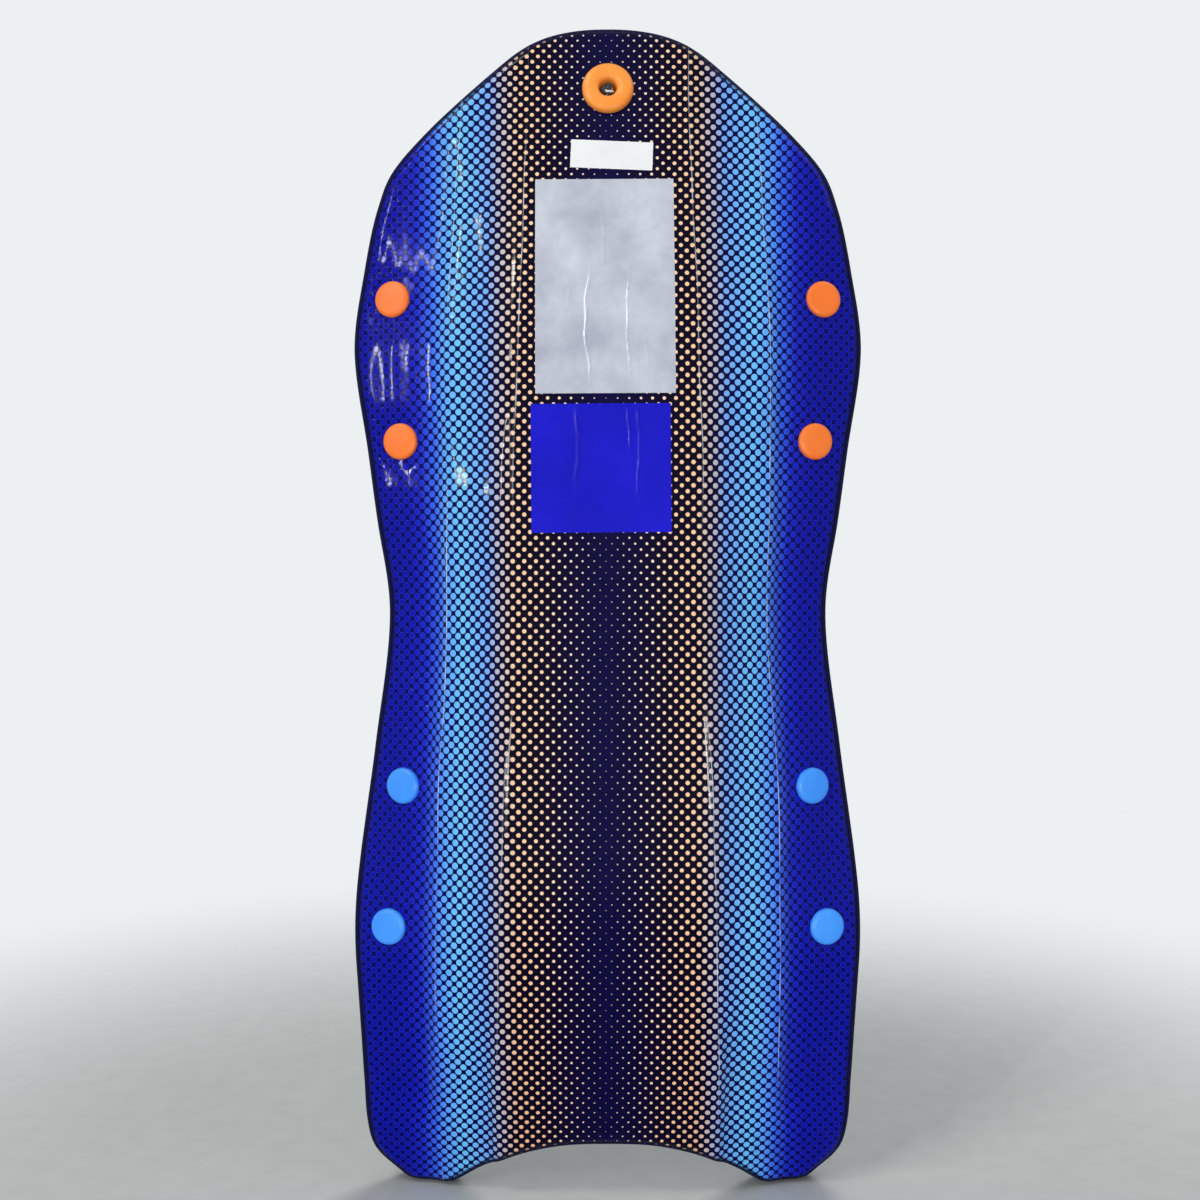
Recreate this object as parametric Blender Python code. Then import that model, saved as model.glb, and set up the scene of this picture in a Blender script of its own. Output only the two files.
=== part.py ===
"""Foam snow sled with a printed slick bottom, webbing grab handles and a tow rope.

The sled stands upright on its two tail lobes. X runs across it, +Z runs from the tail to the nose,
-Y is the slick running side and +Y the deck side. "Depth" is the distance from the plane of the
running pad towards the deck. Left and right are those of a rider who lies on the deck, head to the
nose, so left is +X. All lengths are in metres and all angles in degrees.
"""
import math

import bmesh
import bpy
import numpy as np
from mathutils import Vector

# Outline, as half widths and heights above the tail lobes
LENGTH = 1.270
NOTCH_DEPTH = 0.0595
FOOT_INNER = 0.1775
FOOT_OUTER = 0.2185
HIP_HALF = 0.2765
HIP_HEIGHT = 0.3035
WAIST_HALF = 0.239
WAIST_HEIGHT = 0.639
SHOULDER_HALF = 0.276
SHOULDER_DROP = 0.340
SHOULDER_HEIGHT = LENGTH - SHOULDER_DROP
NOSE_CORNER_HALF = 0.2365
NOSE_CORNER_DROP = 0.157
NOSE_CORNER_HEIGHT = LENGTH - NOSE_CORNER_DROP
TAIL_CORNER_HALF = 0.2595
TAIL_CORNER_HEIGHT = 0.041

# Running surface: where it kicks up at both ends, and how far
TAIL_KICK_START = 0.410
TAIL_KICK_RADIUS = 1.13
NOSE_KICK_RUN = 0.470
NOSE_KICK_START = LENGTH - NOSE_KICK_RUN
NOSE_KICK_LENGTH = 0.220
NOSE_KICK_ANGLE = 7.6

# Running surface across the sled. Each row is one height: the pad's half width, the step beside the
# pad, the distance out to the crease, and the slopes of the side band, the crease and the wing.
SECTIONS = (
    # height, pad half, step, crease at, band, crease, wing
    (0.060, 0.118, 0.010, 0.183, 11.0, 22.0, 5.0),
    (0.124, 0.119, 0.012, 0.184, 12.0, 42.0, 6.0),
    (0.253, 0.115, 0.005, 0.184, 18.0, 40.0, 13.0),
    (0.415, 0.110, 0.006, 0.182, 23.0, 42.0, 22.0),
    (0.640, 0.098, 0.006, 0.171, 26.0, 46.0, 16.0),
    (0.780, 0.099, 0.005, 0.171, 18.0, 42.0, 16.0),
    (0.932, 0.094, 0.003, 0.170, 11.0, 34.0, 16.0),
    (1.080, 0.089, 0.003, 0.163, 12.0, 16.0, 8.0),
    (1.200, 0.086, 0.002, 0.158, 8.0, 8.0, 5.0),
)
STEP_WIDTH = 0.012
CREASE_WIDTH = 0.013

# Layers of the slab, through its thickness
SLAB = 0.042
FILM = 0.0010
DECK_SHEET = 0.004
GAP = 0.00035
CHINE_RADIUS = 0.012
RAIL_LIP = 0.0015
DECK_EDGE_RADIUS = 0.0135
CHINE_MIDDLE = 38.0
FILM_WRAP = 75.0
DECK_EDGE_MIDDLE = 36.0
DECK_WRAP = 72.0
RAIL_INSET = CHINE_RADIUS + RAIL_LIP

# Mesh of the slab: quads along it, across the pad's half and across each wing
ROWS = 18
PAD_COLUMNS = 2
BAND_COLUMNS = 1
WING_COLUMNS = 3
POINTS_PER_SPAN = 24

# Grab handles: how far their plugs lie below and above the outline's widest places
FRONT_HANDLE_BELOW = 0.108
FRONT_HANDLE_ABOVE = 0.0445
REAR_HANDLE_BELOW = 0.0035
REAR_HANDLE_ABOVE = 0.148
FRONT_HANDLE = (SHOULDER_HEIGHT - FRONT_HANDLE_BELOW, SHOULDER_HEIGHT + FRONT_HANDLE_ABOVE)
REAR_HANDLE = (HIP_HEIGHT - REAR_HANDLE_BELOW, HIP_HEIGHT + REAR_HANDLE_ABOVE)
PLUG_INSET = 0.040
PLUG_RADIUS = 0.0195
PLUG_HEIGHT = 0.0042
PLUG_SEAT = 0.0024
STEM_RADIUS = 0.0058
BOSS_RADIUS = 0.009
BOSS_WALL = 0.0029
BOSS_CLEARANCE = 0.0003
DISC_RADIUS = 0.0168
DISC_HEIGHT = 0.0052
DISC_SEAT = 0.0016
DISC_POCKET_RADIUS = 0.0255
STRAP_WIDTH = 0.028
STRAP_THICKNESS = 0.0026
STRAP_TAB = 0.0165
STRAP_FLAT = 0.0178
STRAP_RISE_LENGTH = 0.042
STRAP_RISE = 0.042
STRAP_RISE_POWER = 1.05
STRAP_BEND = 0.003
GRIP_WIDTH = 0.035
GRIP_DEPTH = 0.021
GRIP_LENGTH = 0.092
GRIP_SLOT_CLEARANCE = 0.0006

# Tow rope grommet near the nose
GROMMET_DROP = 0.0720
GROMMET_HEIGHT = LENGTH - GROMMET_DROP
GROMMET_RADIUS = 0.0275
GROMMET_PROUD = 0.0068
GROMMET_SEAT = 0.0022
GROMMET_TUBE_RADIUS = 0.0135
GROMMET_TUBE_LENGTH = 0.019
GROMMET_MOUTH_RADIUS = 0.0095
GROMMET_CUP_DEPTH = 0.011
GROMMET_ROPE_RADIUS = 0.0052
GROMMET_CAP_RADIUS = 0.021
GROMMET_CAP_HEIGHT = 0.005
GROMMET_CAP_SEAT = 0.0010
GROMMET_CAP_TUBE = 0.011
POCKET_CLEARANCE = 0.0004
CUT_MARGIN = 0.012

# Tow rope: it hangs from the grommet behind the deck and ends in a knotted hand loop
ROPE_RADIUS = 0.004
ROPE_STEP = 0.024
ROPE_STRAIGHT_END = 0.007
STOPPER_RADIUS = 0.0083
STOPPER_HALF_LENGTH = 0.0062
HAND_KNOT_RADIUS = 0.0105
HAND_KNOT_HALF_LENGTH = 0.017
HAND_KNOT_HEIGHT = 0.2474
ROPE_DEPTH = 0.1205
ROPE_TURN = (
    # depth, drop below the grommet, where the rope comes out of the cap and turns down
    (0.0975, 0.0061), (0.1060, 0.0087), (0.1130, 0.0140), (0.1177, 0.0223), (0.1198, 0.0330),
    (0.1205, 0.0485), (0.1205, 0.0885),
)
ROPE_FALL = (
    # depth, share of the way down from there to the hand knot
    (0.1203, 0.094), (0.1205, 0.199), (0.1208, 0.316), (0.1206, 0.433), (0.1203, 0.550),
    (0.1204, 0.667), (0.1206, 0.784), (0.1205, 0.889), (0.1205, 0.947),
)
LOOP_ROUTE = (
    # across, drop below the hand knot, round the loop and back
    (0.0055, 0.0254), (0.0085, 0.0344), (0.0165, 0.0504), (0.0270, 0.0714), (0.0352, 0.0974),
    (0.0375, 0.1254), (0.0322, 0.1514), (0.0190, 0.1699), (0.0000, 0.1764), (-0.0190, 0.1699),
    (-0.0322, 0.1514), (-0.0375, 0.1254), (-0.0352, 0.0974), (-0.0270, 0.0714), (-0.0165, 0.0504),
    (-0.0085, 0.0344), (-0.0055, 0.0254),
)

PLUG_SEGMENTS = 16
DISC_SEGMENTS = 12
GROMMET_SEGMENTS = 18
GROMMET_RING_POINTS = 7
KNOT_RINGS = 5
KNOT_SEGMENTS = 12
KNOT_END = 0.86
STRAP_STATIONS = 10
STRAP_STEP = 0.0004
SMOOTH_ANGLE = math.radians(38.0)

ORANGE = (1.0, 0.262, 0.052)
SKY_BLUE = (0.061, 0.330, 0.955)
FILM_BLUE = (0.010, 0.028, 0.560)
NAVY = (0.010, 0.013, 0.048)
DECK_NAVY = (0.016, 0.020, 0.070)
WEBBING_BLACK = (0.012, 0.012, 0.014)
GRIP_BLACK = (0.022, 0.022, 0.026)
ROPE_GREY = (0.120, 0.120, 0.125)


# Scene helpers

def clear_scene():
    for old in list(bpy.data.objects):
        bpy.data.objects.remove(old, do_unlink=True)


def make_material(name, colour, roughness):
    material = bpy.data.materials.new(name)
    material.use_nodes = True
    shader = material.node_tree.nodes["Principled BSDF"]
    shader.inputs["Base Color"].default_value = (*colour, 1.0)
    shader.inputs["Roughness"].default_value = roughness
    shader.inputs["Metallic"].default_value = 0.0
    return material


def mesh_from(name, vertices, faces):
    """A closed mesh with its faces pointing out, smooth apart from its sharp edges."""
    mesh = bpy.data.meshes.new(name)
    mesh.from_pydata([tuple(v) for v in vertices], [], faces)
    work = bmesh.new()
    work.from_mesh(mesh)
    bmesh.ops.recalc_face_normals(work, faces=work.faces)
    work.to_mesh(mesh)
    work.free()
    mesh.shade_smooth()
    mesh.set_sharp_from_angle(angle=SMOOTH_ANGLE)
    return mesh


def place(name, mesh, sled, material=None, seat=None):
    """Add one piece to the sled, on its seat (a point and the axis that the piece's Z follows)."""
    piece = bpy.data.objects.new(name, mesh)
    bpy.context.scene.collection.objects.link(piece)
    piece.parent = sled
    if seat:
        point, axis = seat
        piece.location = point
        piece.rotation_mode = "QUATERNION"
        piece.rotation_quaternion = axis.to_track_quat("Z", "Y")
    if material:
        mesh.materials.clear()
        mesh.materials.append(material)
    return piece


def cut(piece, cutter):
    cutter.hide_render = True
    cutter.display_type = "WIRE"
    boolean = piece.modifiers.new("holes", "BOOLEAN")
    boolean.operation = "DIFFERENCE"
    boolean.solver = "EXACT"
    boolean.object = cutter


# Outline and running surface

def smooth_curve(points, per_span):
    """Points on a smooth curve through the given ones (centripetal Catmull-Rom)."""
    points = [np.array(p, dtype=float) for p in points]
    before = 2 * points[0] - points[1]
    after = 2 * points[-1] - points[-2]
    chain = [before, *points, after]
    curve = []
    for a, b, c, d in zip(chain, chain[1:], chain[2:], chain[3:]):
        knots = np.cumsum([0.0] + [math.sqrt(np.linalg.norm(q - p)) for p, q in ((a, b), (b, c), (c, d))])
        for t in np.linspace(knots[1], knots[2], per_span, endpoint=False):
            ab = mix(a, b, knots[0], knots[1], t)
            bc = mix(b, c, knots[1], knots[2], t)
            cd = mix(c, d, knots[2], knots[3], t)
            abc = mix(ab, bc, knots[0], knots[2], t)
            bcd = mix(bc, cd, knots[1], knots[3], t)
            curve.append(mix(abc, bcd, knots[1], knots[2], t))
    curve.append(points[-1])
    return np.array(curve)


def mix(p, q, start, end, t):
    share = (t - start) / (end - start)
    return p * (1.0 - share) + q * share


def outline_keys():
    """Half of the outline, from the middle of the tail notch round to the nose tip."""
    tail = [
        (0.0, NOTCH_DEPTH),
        (0.055, NOTCH_DEPTH - 0.0030),
        (0.105, NOTCH_DEPTH - 0.0165),
        (FOOT_INNER - 0.036, 0.0235),
        (FOOT_INNER - 0.013, 0.0070),
        (FOOT_INNER, 0.0),
        (FOOT_OUTER, 0.0),
        (FOOT_OUTER + 0.0185, 0.0150),
        (TAIL_CORNER_HALF, TAIL_CORNER_HEIGHT),
    ]
    to_hip = HIP_HEIGHT - TAIL_CORNER_HEIGHT
    to_waist = WAIST_HEIGHT - HIP_HEIGHT
    to_shoulder = SHOULDER_HEIGHT - WAIST_HEIGHT
    to_corner = NOSE_CORNER_HEIGHT - SHOULDER_HEIGHT
    side = [
        (TAIL_CORNER_HALF + 0.0075, TAIL_CORNER_HEIGHT + 0.133 * to_hip),
        (HIP_HALF - 0.0055, TAIL_CORNER_HEIGHT + 0.486 * to_hip),
        (HIP_HALF, HIP_HEIGHT),
        (HIP_HALF - 0.0045, HIP_HEIGHT + 0.209 * to_waist),
        (WAIST_HALF + 0.0165, HIP_HEIGHT + 0.562 * to_waist),
        (WAIST_HALF, WAIST_HEIGHT),
        (WAIST_HALF + 0.0125, WAIST_HEIGHT + 0.344 * to_shoulder),
        (SHOULDER_HALF - 0.0145, WAIST_HEIGHT + 0.601 * to_shoulder),
        (SHOULDER_HALF, SHOULDER_HEIGHT),
        (SHOULDER_HALF - 0.0115, SHOULDER_HEIGHT + 0.434 * to_corner),
        (NOSE_CORNER_HALF + 0.0135, SHOULDER_HEIGHT + 0.804 * to_corner),
        (NOSE_CORNER_HALF, NOSE_CORNER_HEIGHT),
    ]
    nose = [
        (NOSE_CORNER_HALF - 0.039, NOSE_CORNER_HEIGHT + 0.045),
        (0.122, LENGTH - 0.0445),
        (0.096, LENGTH - 0.0245),
        (0.066, LENGTH - 0.0095),
        (0.034, LENGTH - 0.0020),
        (0.0, LENGTH),
    ]
    return tail + side + nose, len(tail) - 1, len(tail) + len(side) - 1


class Outline:
    """The sled's half outline as a fine line, with the direction out of the sled at each point."""

    def __init__(self):
        keys, tail_corner, nose_corner = outline_keys()
        first_mirror = (-keys[1][0], keys[1][1])
        last_mirror = (-keys[-2][0], keys[-2][1])
        line = smooth_curve([first_mirror, *keys, last_mirror], POINTS_PER_SPAN)
        line = line[POINTS_PER_SPAN:-POINTS_PER_SPAN]
        line[:, 0] = np.maximum(line[:, 0], 0.0)
        line[:, 1] = np.maximum(line[:, 1], 0.0)
        along = np.gradient(line, axis=0)
        out = np.column_stack((along[:, 1], -along[:, 0]))
        out /= np.linalg.norm(out, axis=1)[:, None]
        out[0] = (0.0, -1.0)
        out[-1] = (0.0, 1.0)
        self.line = line
        self.out = out
        self.tail_corner = tail_corner * POINTS_PER_SPAN
        self.nose_corner = nose_corner * POINTS_PER_SPAN
        self.steps = np.arange(len(line), dtype=float)

    def at(self, step, inset):
        """The point a distance inside the outline, at a step along it."""
        x, z, out_x, out_z = (np.interp(step, self.steps, values)
                              for values in (*self.line.T, *self.out.T))
        return x - inset * out_x, z - inset * out_z

    def step_where(self, axis, value, inset, first, last):
        """The step between first and last at which the inset line's x (0) or z (1) has a value."""
        steps = self.steps[first:last + 1]
        values = np.array(self.at(steps, inset)[axis])
        order = np.argsort(values)
        return float(np.interp(value, values[order], steps[order]))

    def half_width(self, height):
        step = self.step_where(1, height, 0.0, self.tail_corner, self.nose_corner)
        return float(self.at(step, 0.0)[0])


def section_at(height):
    """The section's sizes at a height: those of SECTIONS, joined smoothly."""
    heights = [row[0] for row in SECTIONS]
    height = min(max(height, heights[0]), heights[-1])
    index = max(i for i, h in enumerate(heights[:-1]) if h <= height)
    low, high = SECTIONS[index], SECTIONS[index + 1]
    share = (height - low[0]) / (high[0] - low[0])
    share = share * share * (3.0 - 2.0 * share)
    return [a + (b - a) * share for a, b in zip(low[1:], high[1:])]


def kick(height):
    """Depth of the pad's own plane: flat amidships, kicked towards the deck at both ends."""
    if height < TAIL_KICK_START:
        run = TAIL_KICK_START - height
        return TAIL_KICK_RADIUS - math.sqrt(TAIL_KICK_RADIUS ** 2 - run ** 2)
    run = height - NOSE_KICK_START
    if run <= 0.0:
        return 0.0
    slope = math.tan(math.radians(NOSE_KICK_ANGLE))
    curved = min(run, NOSE_KICK_LENGTH)
    return 0.5 * slope * curved ** 2 / NOSE_KICK_LENGTH + slope * (run - curved)


def surface_depth(x, height):
    """Depth of the slick running surface at a point of the outline's plane."""
    pad, step, crease, band_slope, crease_slope, wing_slope = section_at(height)
    reach = abs(x) - pad
    if reach <= 0.0:
        return kick(height)
    depth = kick(height)
    on_step = min(reach, STEP_WIDTH)
    on_band = min(max(reach - STEP_WIDTH, 0.0), crease - pad - STEP_WIDTH)
    on_crease = min(max(abs(x) - crease, 0.0), CREASE_WIDTH)
    on_wing = max(abs(x) - crease - CREASE_WIDTH, 0.0)
    depth += step * on_step / STEP_WIDTH
    for run, slope in ((on_band, band_slope), (on_crease, crease_slope), (on_wing, wing_slope)):
        depth += run * math.tan(math.radians(slope))
    return depth


def slab_grid(outline):
    """Steps and places of the slab's mesh: half a grid whose columns follow the creases.

    Returns the places of column k and row j on the +X half, and for each border point its step
    along the outline.
    """
    def columns_at(height, edge):
        pad, _, crease = section_at(height)[:3]
        columns = list(np.linspace(0.0, pad, PAD_COLUMNS + 1))
        columns += list(np.linspace(pad + STEP_WIDTH, crease, BAND_COLUMNS + 1))
        columns += list(np.linspace(crease + CREASE_WIDTH, edge, WING_COLUMNS + 1))
        return columns

    inset = RAIL_INSET
    top, bottom = len(outline.line) - 1, 0
    nose_edge, nose_edge_height = outline.at(outline.nose_corner, inset)
    tail_edge, tail_edge_height = outline.at(outline.tail_corner, inset)
    nose_columns = columns_at(SECTIONS[-1][0], nose_edge)
    tail_columns = columns_at(SECTIONS[0][0], tail_edge)
    nose_steps = [outline.step_where(0, x, inset, outline.nose_corner, top) for x in nose_columns]
    tail_steps = [outline.step_where(0, x, inset, bottom, outline.tail_corner) for x in tail_columns]
    nose_steps[-1], tail_steps[-1] = float(outline.nose_corner), float(outline.tail_corner)
    side_steps = [
        outline.step_where(1, height, inset, outline.tail_corner, outline.nose_corner)
        for height in np.linspace(tail_edge_height, nose_edge_height, ROWS + 1)
    ]
    side_steps[0], side_steps[-1] = tail_steps[-1], nose_steps[-1]
    count = len(nose_columns)
    places = np.zeros((count, ROWS + 1, 2))
    for j, side_step in enumerate(side_steps):
        share = j / ROWS
        for k in range(count):
            low = outline.at(tail_steps[k], inset)
            high = outline.at(nose_steps[k], inset)
            height = low[1] * (1.0 - share) + high[1] * share
            edge = outline.at(side_step, inset)[0]
            places[k, j] = columns_at(height, edge)[k], height
            if j in (0, ROWS):
                places[k, j] = low if j == 0 else high
    places[-1] = [outline.at(step, inset) for step in side_steps]
    return places, tail_steps, side_steps, nose_steps


class Slab:
    """Builds the layers of the slab on one grid, so that they lie parallel to each other."""

    def __init__(self, outline):
        self.outline = outline
        half, tail_steps, side_steps, nose_steps = slab_grid(outline)
        last = len(half) - 1
        self.grid = np.concatenate((half[:0:-1] * (-1.0, 1.0), half))
        self.columns = len(self.grid)
        across = [(abs(k - last), 1.0 if k >= last else -1.0) for k in range(self.columns)]
        border = [(k, 0, tail_steps[i], side) for k, (i, side) in enumerate(across)]
        border += [(self.columns - 1, j, side_steps[j], 1.0) for j in range(1, ROWS)]
        border += [(k, ROWS, nose_steps[i], side) for k, (i, side) in reversed(list(enumerate(across)))]
        border += [(0, j, side_steps[j], -1.0) for j in range(ROWS - 1, 0, -1)]
        self.border = border

    def ring(self, inset, level):
        """One line round the rail: its distance inside the outline and its level in the slab."""
        points = []
        for _, _, step, side in self.border:
            x, z = self.outline.at(step, inset)
            z = max(z, 0.0)
            points.append((side * x, surface_depth(x, z) + level, z))
        return points

    def layer(self, name, low, rings, high, facing=()):
        """A closed layer between two levels, with the given rings round its edge.

        Every face is split into triangles the same way in each layer, so that two layers that lie
        on each other keep their gap. The strips of a ring's inner side, listed in facing, are split
        the other way, because they run backwards along their neighbour's.
        """
        rows = ROWS + 1
        vertices, faces = [], []
        for level in (low, high):
            for k in range(self.columns):
                for j in range(rows):
                    x, z = self.grid[k, j]
                    vertices.append((x, surface_depth(x, z) + level, z))
        sheet = self.columns * rows

        def corner(side, k, j):
            return side * sheet + k * rows + j

        for side in (0, 1):
            for k in range(self.columns - 1):
                inner, outer = (k, k + 1) if 2 * k >= self.columns - 1 else (k + 1, k)
                for j in range(ROWS):
                    diagonal = corner(side, inner, j), corner(side, outer, j + 1)
                    faces.append((*diagonal, corner(side, inner, j + 1)))
                    faces.append((*diagonal, corner(side, outer, j)))
        loops = [[corner(0, k, j) for k, j, _, _ in self.border]]
        for inset, level in rings:
            start = len(vertices)
            vertices += self.ring(inset, level)
            loops.append(list(range(start, start + len(self.border))))
        loops.append([corner(1, k, j) for k, j, _, _ in self.border])
        for strip, (lower, upper) in enumerate(zip(loops, loops[1:])):
            for i in range(len(lower)):
                n = (i + 1) % len(lower)
                if strip in facing:
                    faces += [(lower[i], lower[n], upper[i]), (lower[n], upper[n], upper[i])]
                else:
                    faces += [(lower[i], lower[n], upper[n]), (lower[i], upper[n], upper[i])]
        return mesh_from(name, vertices, faces)


def chine(radius, angle):
    """A point of the rounded lower edge: inset and level at a radius about the chine's centre."""
    turn = math.radians(angle)
    return RAIL_INSET - radius * math.sin(turn), CHINE_RADIUS - radius * math.cos(turn)


def deck_edge(radius, angle):
    """A point of the rounded upper edge, the angle counted from the deck's own face."""
    turn = math.radians(angle)
    return (DECK_EDGE_RADIUS - radius * math.sin(turn),
            SLAB - DECK_EDGE_RADIUS + radius * math.cos(turn))


def clearance_angle(radius):
    return math.degrees(2.4 * GAP / radius)


def slick_bottom_mesh(slab):
    outer = [chine(CHINE_RADIUS, angle) for angle in (CHINE_MIDDLE, FILM_WRAP)]
    inner = [chine(CHINE_RADIUS - FILM, angle) for angle in (FILM_WRAP, CHINE_MIDDLE)]
    return slab.layer("slick_bottom", 0.0, outer + inner, FILM, facing=(3, 4))


def foam_core_mesh(slab):
    low_radius = CHINE_RADIUS - FILM - GAP
    low_end = FILM_WRAP + clearance_angle(low_radius)
    shoulder = RAIL_INSET / math.sin(math.radians(low_end))
    high_radius = DECK_EDGE_RADIUS - DECK_SHEET - GAP
    high_end = DECK_WRAP + clearance_angle(high_radius)
    rings = [chine(low_radius, angle) for angle in (CHINE_MIDDLE, low_end)]
    rings += [chine(shoulder, low_end), deck_edge(DECK_EDGE_RADIUS, 90.0)]
    rings += [deck_edge(radius, high_end) for radius in (DECK_EDGE_RADIUS, high_radius)]
    return slab.layer("foam_core", FILM + GAP, rings, SLAB - DECK_SHEET - GAP)


def deck_sheet_mesh(slab):
    rings = [deck_edge(DECK_EDGE_RADIUS - DECK_SHEET, DECK_WRAP)]
    rings += [deck_edge(DECK_EDGE_RADIUS, angle) for angle in (DECK_WRAP, DECK_EDGE_MIDDLE)]
    return slab.layer("deck_sheet", SLAB - DECK_SHEET, rings, SLAB, facing=(0,))


# Turned pieces

def turned(name, profile, segments, closed=False):
    """A solid turned about Z from (radius, height) points, listed from its outer end down.

    An open profile starts and ends on the axis, and a closed one runs round a ring's section.
    """
    vertices, loops = [], []
    for radius, height in profile:
        if radius == 0.0:
            vertices.append((0.0, 0.0, height))
            loops.append([len(vertices) - 1] * segments)
            continue
        start = len(vertices)
        for i in range(segments):
            turn = 2.0 * math.pi * i / segments
            vertices.append((radius * math.cos(turn), radius * math.sin(turn), height))
        loops.append(list(range(start, start + segments)))
    pairs = list(zip(loops, loops[1:]))
    if closed:
        pairs.append((loops[-1], loops[0]))
    faces = []
    for upper, lower in pairs:
        for i in range(segments):
            n = (i + 1) % segments
            face = list(dict.fromkeys((upper[i], lower[i], lower[n], upper[n])))
            faces.append(face)
    return mesh_from(name, vertices, faces)


def seat_on_surface(x, height):
    """A seat on the slick surface: its point, and the direction square to it towards the deck."""
    reach = 0.015
    slope_x = (surface_depth(x + reach, height) - surface_depth(x - reach, height)) / (2 * reach)
    slope_z = (surface_depth(x, height + reach) - surface_depth(x, height - reach)) / (2 * reach)
    return Vector((x, surface_depth(x, height), height)), Vector((-slope_x, 1.0, -slope_z)).normalized()


def deck_distance(point, axis):
    """How far along an axis from the slick surface the deck's surface lies."""
    distance = SLAB
    for _ in range(12):
        there = point + axis * distance
        distance += surface_depth(there.x, there.z) + SLAB - there.y
    return distance


def plug_profile(stem_length):
    """Bottom plug: a low domed head with a rounded rim, on a stem. Z points into the sled."""
    back = PLUG_SEAT - GAP
    return [
        (0.0, -PLUG_HEIGHT),
        (0.6 * PLUG_RADIUS, -PLUG_HEIGHT + 0.0003),
        (PLUG_RADIUS - 0.0028, -PLUG_HEIGHT + 0.0011),
        (PLUG_RADIUS, -PLUG_HEIGHT + 0.0036),
        (PLUG_RADIUS, back),
        (STEM_RADIUS, back),
        (STEM_RADIUS, stem_length),
        (0.0, stem_length),
    ]


def disc_profile(boss_length):
    """Deck disc: a head with a rounded rim, and the tubular boss that takes the plug's stem.

    Z points into the sled, and zero is the face that presses on the strap.
    """
    bore = BOSS_RADIUS - BOSS_WALL
    return [
        (0.0, -DISC_HEIGHT),
        (DISC_RADIUS - 0.0035, -DISC_HEIGHT + 0.0004),
        (DISC_RADIUS - 0.0008, -DISC_HEIGHT + 0.0022),
        (DISC_RADIUS, 0.0),
        (BOSS_RADIUS, 0.0),
        (BOSS_RADIUS, boss_length),
        (bore, boss_length),
        (bore, 0.0),
        (0.0, 0.0005),
    ]


def grommet_profile():
    """Grommet flange: a fat round ring, a cup for the rope's knot and a tube into the core."""
    back = GROMMET_SEAT - GAP
    crown = 0.5 * (GROMMET_RADIUS + GROMMET_MOUTH_RADIUS)
    half = 0.5 * (GROMMET_RADIUS - GROMMET_MOUTH_RADIUS)
    ring = []
    for i in range(GROMMET_RING_POINTS):
        turn = math.pi * i / (GROMMET_RING_POINTS - 1)
        ring.append((crown + half * math.cos(turn), -GROMMET_PROUD * math.sin(turn) ** 0.8))
    return [
        (GROMMET_RADIUS, back),
        *ring,
        (GROMMET_MOUTH_RADIUS, GROMMET_CUP_DEPTH),
        (GROMMET_ROPE_RADIUS, GROMMET_CUP_DEPTH),
        (GROMMET_ROPE_RADIUS, GROMMET_TUBE_LENGTH),
        (GROMMET_TUBE_RADIUS, GROMMET_TUBE_LENGTH),
        (GROMMET_TUBE_RADIUS, back),
    ]


def grommet_cap_profile():
    """Deck side of the grommet: a flat flange, the rope's hole and a short tube into the core."""
    back = GROMMET_CAP_SEAT - GAP
    top = back - GROMMET_CAP_HEIGHT
    return [
        (GROMMET_CAP_RADIUS, back),
        (GROMMET_CAP_RADIUS, back - 0.0018),
        (GROMMET_CAP_RADIUS - 0.0022, top + 0.0008),
        (GROMMET_CAP_RADIUS - 0.0060, top),
        (GROMMET_ROPE_RADIUS + 0.0025, top),
        (GROMMET_ROPE_RADIUS, top + 0.0018),
        (GROMMET_ROPE_RADIUS, GROMMET_CAP_TUBE),
        (GROMMET_TUBE_RADIUS, GROMMET_CAP_TUBE),
        (GROMMET_TUBE_RADIUS, back),
    ]


# Cutters, turned about the same axes as the pieces that they make room for

def joined(name, parts):
    """One mesh of several turned cutters, each on its seat: (profile, segments, point, axis)."""
    work = bmesh.new()
    for profile, segments, point, axis in parts:
        mesh = turned(name, profile, segments)
        turn = axis.to_track_quat("Z", "Y").to_matrix().to_4x4()
        turn.translation = point
        mesh.transform(turn)
        work.from_mesh(mesh)
        bpy.data.meshes.remove(mesh)
    mesh = bpy.data.meshes.new(name)
    work.to_mesh(mesh)
    work.free()
    return mesh


def straight_cut(radius, start, end):
    return [(0.0, start), (radius, start), (radius, end), (0.0, end)]


def stepped_cut(wide, wide_start, floor, narrow, end):
    """A wide pocket from wide_start to its floor, then a narrow hole to the end."""
    return [(0.0, wide_start), (wide, wide_start), (wide, floor), (narrow, floor), (narrow, end),
            (0.0, end)]


# Grab handles

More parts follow.
